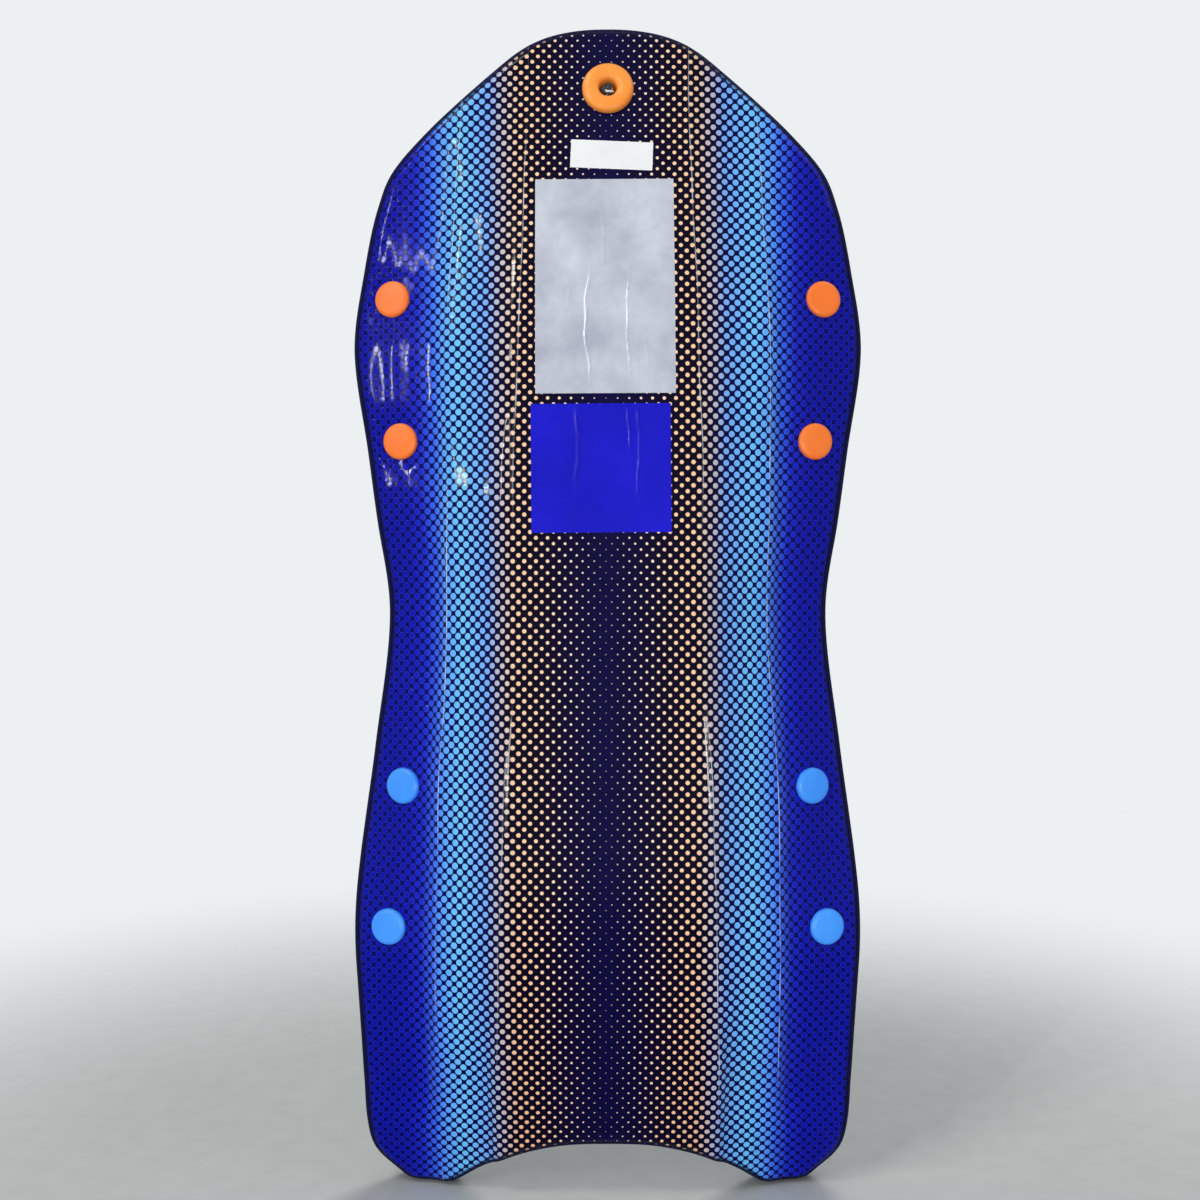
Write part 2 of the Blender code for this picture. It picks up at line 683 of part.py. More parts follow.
class Handle:
    """One grab handle: its two seats and the strap's line from seat to seat."""

    def __init__(self, outline, side, heights):
        self.seats = []
        for height in heights:
            x = side * (outline.half_width(height) - PLUG_INSET)
            self.seats.append(seat_on_surface(x, height))
        self.depths = [deck_distance(point, axis) for point, axis in self.seats]
        self.tabs = [point + axis * (depth - DISC_SEAT + GAP + 0.5 * STRAP_THICKNESS)
                     for (point, axis), depth in zip(self.seats, self.depths)]
        self.span = (self.tabs[1] - self.tabs[0]).length

    def rise(self, run):
        """The strap's height over its tabs, at a distance from the first tab's boss."""
        nearest = min(run, self.span - run)
        share = min(max((nearest - STRAP_FLAT) / STRAP_RISE_LENGTH, 0.0), 1.0)
        return STRAP_RISE * math.sin(0.5 * math.pi * share) ** STRAP_RISE_POWER

    def frame(self, run):
        """Centre of the strap, its direction, its width's direction and its outward face."""
        along = (self.tabs[1] - self.tabs[0]).normalized()

        def centre(distance):
            share = min(max(distance / self.span, 0.0), 1.0)
            up = self.seats[0][1].lerp(self.seats[1][1], share).normalized()
            base = self.tabs[0] + along * distance
            return base + up * self.rise(distance), up

        here, up = centre(run)
        ahead, behind = centre(run + STRAP_STEP)[0], centre(run - STRAP_STEP)[0]
        direction = (ahead - behind).normalized()
        flat = self.rise(run + STRAP_STEP) == 0.0 and self.rise(run - STRAP_STEP) == 0.0
        if flat:
            up = self.seats[0][1] if run < 0.5 * self.span else self.seats[1][1]
            here = self.tabs[0 if run < 0.5 * self.span else 1].copy()
            along_tab = (along - up * along.dot(up)).normalized()
            here += along_tab * (run if run < 0.5 * self.span else run - self.span)
            direction = along_tab
        across = direction.cross(up).normalized()
        return here, direction, across, across.cross(direction).normalized()

    def loft(self, runs, section):
        """Loops of points along the strap's line: section gives one loop's (across, out) points."""
        vertices, loops = [], []
        for run in runs:
            here, _, across, out = self.frame(run)
            start = len(vertices)
            vertices += [here + across * a + out * b for a, b in section]
            loops.append(list(range(start, start + len(section))))
        return vertices, loops

    def arch_runs(self):
        """Where the strap's line is sampled between its two flat tabs."""
        start = STRAP_FLAT + STRAP_BEND
        return list(np.linspace(start, self.span - start, STRAP_STATIONS))

    def strap(self, name):
        ends = [-STRAP_TAB, 0.0, STRAP_FLAT - 1.2 * STRAP_STEP]
        runs = ends + self.arch_runs() + [self.span - run for run in reversed(ends)]
        half, thick = 0.5 * STRAP_WIDTH, 0.5 * STRAP_THICKNESS
        section = [(-half, -thick), (half, -thick), (half, thick), (-half, thick)]
        vertices, loops = self.loft(runs, section)
        faces = [tuple(loops[0]), tuple(loops[-1])]
        for lower, upper in zip(loops, loops[1:]):
            for i in range(4):
                n = (i + 1) % 4
                faces.append((lower[i], lower[n], upper[n], upper[i]))
        return mesh_from(name, vertices, faces)

    def grip(self, name):
        """A padded sleeve: an oval outside, and a slot that the strap runs through."""
        start = 0.5 * (self.span - GRIP_LENGTH)
        end = start + GRIP_LENGTH
        inside = [run for run in self.arch_runs() if start + STRAP_BEND < run < end - STRAP_BEND]
        runs = [start, *inside, end]
        slot_half = 0.5 * STRAP_WIDTH + GRIP_SLOT_CLEARANCE
        slot_thick = 0.5 * STRAP_THICKNESS + GRIP_SLOT_CLEARANCE
        inner = [(slot_half, -slot_thick), (slot_half, slot_thick)]
        inner += [(share * slot_half, slot_thick) for share in (0.5, 0.0, -0.5)]
        inner += [(-slot_half, slot_thick), (-slot_half, -slot_thick)]
        inner += [(share * slot_half, -slot_thick) for share in (-0.5, 0.0, 0.5)]
        count = len(inner)
        outer = []
        for i in range(count):
            turn = 2.0 * math.pi * (i - 0.5) / count
            outer.append((0.5 * GRIP_WIDTH * math.cos(turn), 0.5 * GRIP_DEPTH * math.sin(turn)))
        vertices, loops = self.loft(runs, outer + inner)
        faces = []
        for lower, upper in zip(loops, loops[1:]):
            for ring in (0, count):
                for i in range(count):
                    n = (i + 1) % count
                    faces.append((lower[ring + i], lower[ring + n], upper[ring + n], upper[ring + i]))
        for loop in (loops[0], loops[-1]):
            for i in range(count):
                n = (i + 1) % count
                faces.append((loop[i], loop[n], loop[count + n], loop[count + i]))
        return mesh_from(name, vertices, faces)


# Rope

def rope(name, route, sled, material):
    """A round rope along a smooth line through its route's points."""
    line = smooth_curve(route, 12)
    lengths = np.concatenate(([0.0], np.cumsum(np.linalg.norm(np.diff(line, axis=0), axis=1))))
    middle = lengths[-1] - 2 * ROPE_STRAIGHT_END
    stops = ROPE_STRAIGHT_END + np.linspace(0.0, middle, round(middle / ROPE_STEP) + 1)
    stops = [0.0, *stops, lengths[-1]]
    points = np.column_stack([np.interp(stops, lengths, line[:, axis]) for axis in range(3)])
    curve = bpy.data.curves.new(name, "CURVE")
    curve.dimensions = "3D"
    curve.bevel_depth = ROPE_RADIUS
    curve.bevel_resolution = 2
    curve.use_fill_caps = True
    spline = curve.splines.new("POLY")
    spline.points.add(len(points) - 1)
    for point, place_at in zip(spline.points, points):
        point.co = (*place_at, 1.0)
    curve.materials.append(material)
    piece = bpy.data.objects.new(name, curve)
    bpy.context.scene.collection.objects.link(piece)
    piece.parent = sled
    print(f"{name}: {lengths[-1]:.3f} m of rope")
    return piece


def knot_mesh(name, radius, half_length, lobes):
    """A pulled-tight knot: a flat-ended barrel whose waist shows the turns as shallow lobes."""
    rings, segments = KNOT_RINGS, KNOT_SEGMENTS
    vertices = [(0.0, 0.0, -half_length)]
    for height in np.linspace(-1.0, 1.0, rings):
        width = KNOT_END + (1.0 - KNOT_END) * math.sqrt(1.0 - height * height)
        for j in range(segments):
            turn = 2.0 * math.pi * j / segments
            lobe = 1.0 - 0.07 * (1.0 + math.cos(lobes * (turn + 1.5 * height)))
            vertices.append((radius * width * lobe * math.cos(turn),
                             radius * width * lobe * math.sin(turn), half_length * height))
    vertices.append((0.0, 0.0, half_length))
    last = len(vertices) - 1
    faces = []
    for j in range(segments):
        n = (j + 1) % segments
        faces.append((0, 1 + n, 1 + j))
        for i in range(rings - 1):
            low, high = 1 + i * segments, 1 + (i + 1) * segments
            faces.append((low + j, low + n, high + n, high + j))
        top = 1 + (rings - 1) * segments
        faces.append((top + j, top + n, last))
    return mesh_from(name, vertices, faces)


# Assembly

def build():
    clear_scene()
    sled = bpy.data.objects.new("sled", None)
    bpy.context.scene.collection.objects.link(sled)
    outline = Outline()
    slab = Slab(outline)

    film_material = make_material("printed_slick_film", FILM_BLUE, 0.18)
    core_material = make_material("navy_foam", NAVY, 0.7)
    deck_material = make_material("navy_deck_foam", DECK_NAVY, 0.75)
    webbing = make_material("black_webbing", WEBBING_BLACK, 0.85)
    grip_foam = make_material("grip_foam", GRIP_BLACK, 0.8)
    orange = make_material("orange_plastic", ORANGE, 0.38)
    blue = make_material("sky_blue_plastic", SKY_BLUE, 0.38)
    rope_material = make_material("rope", ROPE_GREY, 0.85)

    film = place("slick_bottom", slick_bottom_mesh(slab), sled, film_material)
    core = place("foam_core", foam_core_mesh(slab), sled, core_material)
    deck = place("deck_sheet", deck_sheet_mesh(slab), sled, deck_material)
    rigid = [film, core, deck]
    film_cuts, core_cuts, deck_cuts = [], [], []

    boss_bore = BOSS_RADIUS + BOSS_CLEARANCE
    plug_pocket = PLUG_RADIUS + POCKET_CLEARANCE
    for end, heights, colour in (("front", FRONT_HANDLE, orange), ("rear", REAR_HANDLE, blue)):
        for side_name, side in (("left", 1.0), ("right", -1.0)):
            handle = Handle(outline, side, heights)
            name = f"{end}_{side_name}"
            strap = place(f"handle_strap_{name}", handle.strap("strap"), sled, webbing)
            grip = place(f"handle_grip_{name}", handle.grip("grip"), sled, grip_foam)
            rigid += [strap, grip]
            strap_cuts = []
            for place_name, (point, axis), depth in zip(("tailward", "noseward"), handle.seats,
                                                        handle.depths):
                floor = depth - DISC_SEAT
                press_face = floor + 2 * GAP + STRAP_THICKNESS
                boss_length = press_face - PLUG_SEAT - 2 * GAP
                stem_length = press_face - 2 * GAP
                plug = turned("bottom_plug", plug_profile(stem_length), PLUG_SEGMENTS)
                rigid.append(place(f"bottom_plug_{name}_{place_name}", plug, sled, colour,
                                   (point, axis)))
                disc = turned("deck_disc", disc_profile(boss_length), DISC_SEGMENTS)
                rigid.append(place(f"deck_disc_{name}_{place_name}", disc, sled, colour,
                                   (point + axis * press_face, -axis)))
                outside = (-CUT_MARGIN, depth + CUT_MARGIN)
                film_cuts.append((straight_cut(plug_pocket, *outside), PLUG_SEGMENTS, point, axis))
                core_cuts.append((stepped_cut(plug_pocket, outside[0], PLUG_SEAT, boss_bore,
                                              outside[1]), PLUG_SEGMENTS, point, axis))
                deck_cuts.append((stepped_cut(DISC_POCKET_RADIUS, -CUT_MARGIN, DISC_SEAT, boss_bore,
                                              SLAB), PLUG_SEGMENTS, point + axis * depth, -axis))
                strap_cuts.append((straight_cut(boss_bore, floor - CUT_MARGIN, floor + CUT_MARGIN),
                                   DISC_SEGMENTS, point, axis))
            cut(strap, place(f"cut_{strap.name}", joined("strap_holes", strap_cuts), sled))

    point, axis = seat_on_surface(0.0, GROMMET_HEIGHT)
    depth = deck_distance(point, axis)
    deck_point = point + axis * depth
    flange = turned("grommet_flange", grommet_profile(), GROMMET_SEGMENTS, closed=True)
    cap = turned("grommet_cap", grommet_cap_profile(), GROMMET_SEGMENTS, closed=True)
    rigid.append(place("grommet_flange", flange, sled, orange, (point, axis)))
    rigid.append(place("grommet_cap", cap, sled, orange, (deck_point, -axis)))
    tube_bore = GROMMET_TUBE_RADIUS + POCKET_CLEARANCE
    flange_pocket = GROMMET_RADIUS + POCKET_CLEARANCE
    outside = (-CUT_MARGIN, depth + CUT_MARGIN)
    film_cuts.append((straight_cut(flange_pocket, *outside), GROMMET_SEGMENTS, point, axis))
    core_cuts.append((stepped_cut(flange_pocket, outside[0], GROMMET_SEAT, tube_bore, outside[1]),
                      GROMMET_SEGMENTS, point, axis))
    deck_cuts.append((stepped_cut(GROMMET_CAP_RADIUS + POCKET_CLEARANCE, -CUT_MARGIN,
                                  GROMMET_CAP_SEAT, tube_bore, SLAB),
                      GROMMET_SEGMENTS, deck_point, -axis))
    for piece, cuts in ((film, film_cuts), (core, core_cuts), (deck, deck_cuts)):
        cut(piece, place(f"cut_{piece.name}", joined(f"{piece.name}_holes", cuts), sled))

    stopper = knot_mesh("rope_stopper_knot", STOPPER_RADIUS, STOPPER_HALF_LENGTH, 3)
    stopper_level = GROMMET_CUP_DEPTH - GAP - STOPPER_HALF_LENGTH
    place("rope_stopper_knot", stopper, sled, rope_material, (point + axis * stopper_level, axis))
    rope_start = point + axis * (stopper_level + STOPPER_HALF_LENGTH + GAP)
    rope_straight = point + axis * (depth + 0.5 * GROMMET_CAP_HEIGHT)
    knot_top = HAND_KNOT_HEIGHT + HAND_KNOT_HALF_LENGTH + GAP
    turned_down = GROMMET_HEIGHT - ROPE_TURN[-1][1]
    hang = [tuple(rope_start), tuple(rope_straight)]
    hang += [(0.0, d, GROMMET_HEIGHT - drop) for d, drop in ROPE_TURN]
    hang += [(0.0, d, turned_down + share * (knot_top - turned_down)) for d, share in ROPE_FALL]
    hang.append((0.0, ROPE_DEPTH, knot_top))
    rope("tow_rope", hang, sled, rope_material)
    hand_knot = knot_mesh("hand_loop_knot", HAND_KNOT_RADIUS, HAND_KNOT_HALF_LENGTH, 3)
    place("hand_loop_knot", hand_knot, sled, rope_material,
          (Vector((0.0, ROPE_DEPTH, HAND_KNOT_HEIGHT)), Vector((0.0, 0.0, 1.0))))
    knot_bottom = HAND_KNOT_HEIGHT - HAND_KNOT_HALF_LENGTH - GAP
    loop = [(x, ROPE_DEPTH, HAND_KNOT_HEIGHT - drop) for x, drop in LOOP_ROUTE]
    loop = [(loop[0][0], ROPE_DEPTH, knot_bottom), *loop, (loop[-1][0], ROPE_DEPTH, knot_bottom)]
    rope("hand_loop", loop, sled, rope_material)

    centre_in_depth(sled, rigid)


def centre_in_depth(sled, pieces):
    """Move the sled so that the origin lies midway between its slick side and its handles."""
    bpy.context.view_layer.update()
    depths = [(piece.matrix_world @ vertex.co).y for piece in pieces for vertex in piece.data.vertices]
    sled.location.y = -0.5 * (min(depths) + max(depths))
    print(f"pad plane at y = {sled.location.y:.5f}")


build()
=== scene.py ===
"""Foam snow sled with a halftone-printed slick bottom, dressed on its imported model.

X runs across the sled, Z from its tail to its nose, and -Y out of the slick side. "Depth" counts
from the running pad towards the deck, which has the grab handles. Lengths are in metres, and
angles in degrees.
"""
import math

import bmesh
import bpy
import numpy as np
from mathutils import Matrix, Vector


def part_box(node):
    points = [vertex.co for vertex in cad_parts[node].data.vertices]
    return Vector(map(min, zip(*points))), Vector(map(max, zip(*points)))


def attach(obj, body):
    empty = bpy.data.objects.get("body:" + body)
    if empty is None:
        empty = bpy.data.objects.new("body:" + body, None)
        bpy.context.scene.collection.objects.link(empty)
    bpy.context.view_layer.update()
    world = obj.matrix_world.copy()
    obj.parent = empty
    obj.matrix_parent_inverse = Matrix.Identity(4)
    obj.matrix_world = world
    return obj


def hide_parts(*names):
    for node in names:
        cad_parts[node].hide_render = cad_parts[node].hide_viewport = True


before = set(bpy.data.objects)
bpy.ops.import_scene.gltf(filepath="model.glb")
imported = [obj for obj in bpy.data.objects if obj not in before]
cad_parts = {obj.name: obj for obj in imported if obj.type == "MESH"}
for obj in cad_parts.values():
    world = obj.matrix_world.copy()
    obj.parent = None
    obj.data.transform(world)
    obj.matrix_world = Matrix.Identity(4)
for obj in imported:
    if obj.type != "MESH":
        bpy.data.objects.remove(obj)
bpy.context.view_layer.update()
PAD_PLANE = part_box("slick_bottom")[0].y
scene = bpy.context.scene
scene.view_settings.view_transform = "Standard"

# Outline: half widths and heights
LENGTH, NOTCH_DEPTH = 1.270, 0.0595
FOOT_INNER, FOOT_OUTER = 0.1775, 0.2185
TAIL_HALF, TAIL_HEIGHT = 0.2595, 0.041
HIP_HALF, HIP_HEIGHT = 0.2765, 0.3035
WAIST_HALF, WAIST_HEIGHT = 0.239, 0.639
SHOULDER_HALF, SHOULDER_HEIGHT = 0.276, 0.930
NOSE_HALF, NOSE_HEIGHT = 0.2365, 1.113
SPAN_STEPS = 24

# Running surface: the kick at both ends, then its section at several heights
TAIL_KICK_START, TAIL_KICK_RADIUS = 0.410, 1.13
NOSE_KICK_START, NOSE_KICK_LENGTH, NOSE_KICK_ANGLE = 0.800, 0.220, 7.6
SECTIONS = np.array((
    # height, pad half, step, crease at, band slope, crease slope, wing slope
    (0.060, 0.118, 0.010, 0.183, 11.0, 22.0, 5.0),
    (0.124, 0.119, 0.012, 0.184, 12.0, 42.0, 6.0),
    (0.253, 0.115, 0.005, 0.184, 18.0, 40.0, 13.0),
    (0.415, 0.110, 0.006, 0.182, 23.0, 42.0, 22.0),
    (0.640, 0.098, 0.006, 0.171, 26.0, 46.0, 16.0),
    (0.780, 0.099, 0.005, 0.171, 18.0, 42.0, 16.0),
    (0.932, 0.094, 0.003, 0.170, 11.0, 34.0, 16.0),
    (1.080, 0.089, 0.003, 0.163, 12.0, 16.0, 8.0),
    (1.200, 0.086, 0.002, 0.158, 8.0, 8.0, 5.0),
))
STEP_WIDTH, CREASE_WIDTH, CREASE_ROUNDING = 0.012, 0.013, 0.0045

# Slab: film, core and deck sheet
SLAB, FILM, DECK_SHEET, GAP = 0.042, 0.0010, 0.004, 0.00035
CHINE_RADIUS, RAIL_LIP, DECK_EDGE_RADIUS = 0.012, 0.0015, 0.0135
FILM_WRAP, DECK_WRAP = 75.0, 72.0
RAIL_INSET = CHINE_RADIUS + RAIL_LIP
ROWS = 200
ZONE_COLUMNS = (14, 4, 12, 5, 15)

# Handles, plugs and grommet
FRONT_HANDLE, REAR_HANDLE = (0.822, 0.9745), (0.300, 0.4515)
PLUG_INSET, PLUG_RADIUS, PLUG_HEIGHT, PLUG_SEAT = 0.040, 0.0195, 0.0042, 0.0024
STEM_RADIUS, BOSS_RADIUS = 0.0058, 0.009
DISC_RADIUS, DISC_HEIGHT, DISC_SEAT, DISC_POCKET = 0.0168, 0.0052, 0.0016, 0.0255
STRAP_WIDTH, STRAP_THICKNESS, STRAP_TAB, STRAP_FLAT = 0.028, 0.0026, 0.0165, 0.0178
STRAP_RISE, STRAP_RISE_LENGTH, STRAP_RISE_POWER = 0.042, 0.042, 1.05
GRIP_WIDTH, GRIP_DEPTH, GRIP_LENGTH, GRIP_ROUNDNESS = 0.035, 0.021, 0.092, 0.86
GRIP_END_SHARE, GRIP_END_LENGTH = 0.62, 0.007
FINGER_WAVE, FINGER_PITCH = 0.030, 0.0153
SEAM_DEPTH, SEAM_WIDTH, SEAM_END = 0.050, 0.015, 0.006
SEAM_ACROSS, SEAM_OUT = 0.435 * GRIP_WIDTH, 0.300 * GRIP_DEPTH
TACKS, TACK_HALF, TACK_PROUD = (0.0215, 0.0235, 0.0255), 0.0105, 0.0001
GROMMET_HEIGHT, GROMMET_RADIUS, GROMMET_PROUD, GROMMET_SEAT = 1.1980, 0.0275, 0.0068, 0.0022
GROMMET_TUBE, GROMMET_TUBE_LENGTH = 0.0135, 0.019
GROMMET_MOUTH, GROMMET_CUP, ROPE_HOLE = 0.0095, 0.011, 0.0052
CAP_RADIUS, CAP_HEIGHT, CAP_SEAT, CAP_TUBE = 0.021, 0.005, 0.0010, 0.011

# The slab is pressed in round each of them: radius, fall outside it, depth
GROMMET_PRESS, CAP_PRESS = (GROMMET_RADIUS, 0.012, 0.0014), (CAP_RADIUS, 0.008, CAP_SEAT)
PLUG_PRESS = (PLUG_RADIUS - 0.001, 0.011, 0.0013)
DISC_PRESS = (DISC_POCKET - 0.004, 0.009, DISC_SEAT)
# Radius of their holes through the film and through the deck sheet
GROMMET_HOLES, PLUG_HOLES = (0.0190, 0.0150), (0.0100, 0.0095)

# Rope, and its knots: half sizes of a knot's path, and the radius of its cord
ROPE_RADIUS, ROPE_DEPTH, INTO_KNOT = 0.004, 0.1205, 0.006
STOPPER_HALF, STOPPER_SIZES, STOPPER_CORD = 0.0062, (0.0058, 0.0058, 0.0028), 0.0027
HAND_KNOT_HEIGHT, HAND_KNOT_HALF = 0.2474, 0.017
HAND_KNOT_SIZES, HAND_KNOT_CORD = (0.0074, 0.0150, 0.0052), 0.0040
ROPE_TURN = (
    # depth, drop below the grommet
    (0.0975, 0.0061), (0.1060, 0.0087), (0.1130, 0.0140), (0.1177, 0.0223), (0.1198, 0.0330),
    (0.1205, 0.0485), (0.1205, 0.0885),
)
ROPE_FALL = (
    # depth, share of the way down from there to the hand knot
    (0.1203, 0.094), (0.1205, 0.199), (0.1208, 0.316), (0.1206, 0.433), (0.1203, 0.550),
    (0.1204, 0.667), (0.1206, 0.784), (0.1205, 0.889), (0.1205, 0.947),
)
HALF_LOOP, LOOP_DROP = (
    # across, drop below the hand knot
    (0.0055, 0.0254), (0.0085, 0.0344), (0.0165, 0.0504), (0.0270, 0.0714), (0.0352, 0.0974),
    (0.0375, 0.1254), (0.0322, 0.1514), (0.0190, 0.1699),
), 0.1764

# Print: dots in two interleaved square grids of this pitch, by their distance from the middle
DOT_PITCH = 0.0121
PRINT_HALF, PRINT_SHIFT = 0.26, -0.0022
LARGEST_DOT = 5.0
DOT_SIZES = (
    # distance, radius in mm
    (0.0, 0.42), (0.012, 0.74), (0.024, 1.02), (0.045, 1.45), (0.070, 1.96), (0.095, 2.40),
    (0.115, 2.92), (0.135, 3.32), (0.165, 3.58), (0.26, 3.72),
)
INK = (
    # distance, then red, green and blue in 0 to 255 steps
    (0.0, 206, 196, 206), (0.045, 246, 222, 200), (0.074, 250, 208, 164), (0.092, 246, 200, 158),
    (0.104, 216, 193, 182), (0.114, 184, 180, 192), (0.126, 116, 166, 236), (0.140, 110, 176, 248),
    (0.158, 110, 192, 251), (0.176, 92, 160, 250), (0.190, 54, 100, 232), (0.206, 24, 38, 194),
    (0.222, 12, 18, 172), (0.240, 9, 14, 160),
)
GROUND = (
    (0.0, 9, 7, 58), (0.060, 12, 3, 32), (0.100, 8, 3, 26), (0.130, 1, 5, 66), (0.176, 1, 6, 78),
    (0.200, 2, 4, 92), (0.228, 2, 3, 96),
)

# Stickers: how far they stand off the film and reach into it, and their folds
STICKER_LIFT, STICKER_SINK, STICKER_GRAIN = 0.00018, 0.0001, 0.0012
SILVER_FOLDS = (
    # across and start and end in shares of its size, sway, height, half width
    (-0.12, -0.50, 0.12, 0.0030, 0.0010, 0.0011), (0.17, -0.45, 0.10, 0.0016, 0.0009, 0.0009),
    (0.30, -0.45, -0.20, 0.0012, 0.0007, 0.0009), (-0.02, 0.02, 0.40, 0.0020, 0.0005, 0.0010),
    (-0.24, -0.15, 0.05, 0.0040, 0.0006, 0.0012), (0.22, -0.50, -0.28, 0.0020, 0.0006, 0.0008),
)
BLUE_FOLDS = (
    (-0.17, -0.20, 0.52, 0.0018, 0.0017, 0.0016), (0.20, 0.10, 0.52, 0.0014, 0.0015, 0.0015),
    (0.27, -0.30, 0.52, 0.0012, 0.0014, 0.0013), (-0.36, -0.50, -0.10, 0.0016, 0.0008, 0.0012),
)
STICKERS = (
    # name, middle, size, angle, folds; its two colours, metal, roughness, crinkle and shine
    ("silver", (-0.0032, 0.9817), (0.146, 0.230), 0.3, SILVER_FOLDS,
     ((172, 177, 191), (206, 210, 220), 0.25, 0.26, 0.34, 0.14)),
    ("white", (0.0040, 1.1235), (0.087, 0.031), -2.4, (),
     ((228, 230, 232), (240, 242, 243), 0.0, 0.42, 0.12, 0.14)),
    ("royal_blue", (-0.0073, 0.7890), (0.1455, 0.134), 0.4, BLUE_FOLDS,
     ((7, 5, 184), (18, 14, 200), 0.0, 0.10, 0.40, 0.20)),
)

# Camera, where the photographer stood, and the lamps
CAMERA, CAMERA_LENS = (-0.0084, PAD_PLANE - 1.308, 0.652), 37.85
WHITE, WARM_WHITE, COOL_WHITE = (1.0, 1.0, 1.0), (1.0, 0.985, 0.96), (0.94, 0.97, 1.0)
LAMPS = (
    # name, place, aim, size, watts, tint
    ("key_lamp", (-1.9, -1.9, 3.9), (0.0, 0.0, 0.65), (1.1, 1.1), 46.0, WARM_WHITE),
    ("front_lamp_right", (0.76, -2.2, 0.22), (0.0, 0.0, 0.30), (0.16, 0.28), 15.0, WHITE),
    ("front_lamp_left", (-0.76, -2.2, 0.22), (0.0, 0.0, 0.30), (0.16, 0.28), 11.0, WHITE),
    ("window_lamp_low", (-2.21, -2.26, 1.40), (-0.24, 0.0, 1.40), (0.030, 0.9), 12.0, WHITE),
    ("window_lamp_high", (-1.78, -2.57, 2.36), (-0.24, 0.0, 1.20), (0.030, 0.9), 14.0, WHITE),
    ("fill_lamp", (1.7, -1.0, 2.9), (0.0, 0.0, 0.60), (1.2, 1.2), 9.0, COOL_WHITE),
    ("back_lamp", (0.9, 2.6, 2.2), (0.0, 0.0, 0.65), (1.4, 1.4), 60.0, WHITE),
)


def add_object(name, data):
    """A new object in the scene."""
    added = bpy.data.objects.new(name, data)
    scene.collection.objects.link(added)
    return added


def photo_camera():
    lens = bpy.data.cameras.new("photo_camera")
    lens.lens, lens.sensor_width = CAMERA_LENS, 36.0
    camera = add_object("photo_camera", lens)
    camera.location, camera.rotation_euler = CAMERA, (math.radians(90.0), 0.0, 0.0)
    scene.camera = camera


def studio_lamp(name, place, aim, size, watts, tint):
    light = bpy.data.lights.new(name, "AREA")
    light.shape, light.energy, light.color = "RECTANGLE", watts, tint
    light.size, light.size_y = size
    lamp = add_object(name, light)
    lamp.location, lamp.visible_camera = place, False
    lamp.rotation_mode = "QUATERNION"
    lamp.rotation_quaternion = (Vector(aim) - Vector(place)).to_track_quat("-Z", "Y")


# Node graphs

class Finish:
    """One material and the few calls that build its node graph."""

    def __init__(self, name, **shader_values):
        self.material = bpy.data.materials.new(name)
        self.material.use_nodes = True
        self.tree = self.material.node_tree
        self.shader = self.tree.nodes["Principled BSDF"]
        self.done(**shader_values)

    def set(self, node, values):
        for key, value in values.items():
            socket = node.inputs[key]
            if isinstance(value, bpy.types.NodeSocket):
                self.tree.links.new(value, socket)
            else:
                socket.default_value = value

    def node(self, kind, out=0, values=None, **settings):
        node = self.tree.nodes.new("ShaderNode" + kind)
        for key, value in settings.items():
            setattr(node, key, value)
        self.set(node, values or {})
        return node.outputs[out]

    def math(self, operation, *terms):
        return self.node("Math", operation=operation, values=dict(enumerate(terms)))

    def times(self, *terms):
        return self.math("MULTIPLY", *terms)

    def vector(self, operation, *terms, out=0):
        return self.node("VectorMath", operation=operation, out=out, values=dict(enumerate(terms)))

    def uv(self, name):
        return self.node("UVMap", uv_map=name)

    def parts(self, source):
        """The first two parts of a vector."""
        first = self.node("SeparateXYZ", values={0: source})
        return first, first.node.outputs[1]

    def span(self, value, low, high, to_low=0.0, to_high=1.0, kind="LINEAR"):
        return self.node("MapRange", interpolation_type=kind, values={
            "Value": value, "From Min": low, "From Max": high, "To Min": to_low, "To Max": to_high})

    def soft(self, value, low, high, to_low=0.0, to_high=1.0):
        return self.span(value, low, high, to_low, to_high, "SMOOTHSTEP")

    def mix(self, share, first, second, blend="MIX"):
        return self.node("Mix", 2, data_type="RGBA", blend_type=blend,
                         values={0: share, 6: first, 7: second})

    def ramp(self, value, stops):
        output = self.node("ValToRGB", values={0: value})
        elements = output.node.color_ramp.elements
        for index, (position, colour) in enumerate(stops):
            element = elements[index] if index < 2 else elements.new(position)
            element.position, element.color = position, colour
        return output

    def place(self, stretch=(1.0, 1.0, 1.0)):
        coordinates = self.node("TexCoord", out="Object")
        return self.node("Mapping", values={"Vector": coordinates, "Scale": stretch})

    def noise(self, scale, detail=3.0, roughness=0.5, stretch=(1.0, 1.0, 1.0)):
        return self.node("TexNoise", values={"Vector": self.place(stretch), "Scale": scale,
                                             "Detail": detail, "Roughness": roughness})

    def bump(self, height, strength, distance, over=None):
        below = {"Normal": over} if over else {}
        return self.node("Bump", values={"Height": height, "Strength": strength,
                                         "Distance": distance, **below})

    def done(self, **values):
        self.set(self.shader, {key.replace("_", " "): value for key, value in values.items()})
        return self.material


def srgb(*steps):
    """A colour written in 0 to 255 steps, as the shader's linear values."""
    levels = [step / 255 for step in steps]
    return (*(c / 12.92 if c < 11 / 255 else ((c + 0.055) / 1.055) ** 2.4 for c in levels), 1.0)


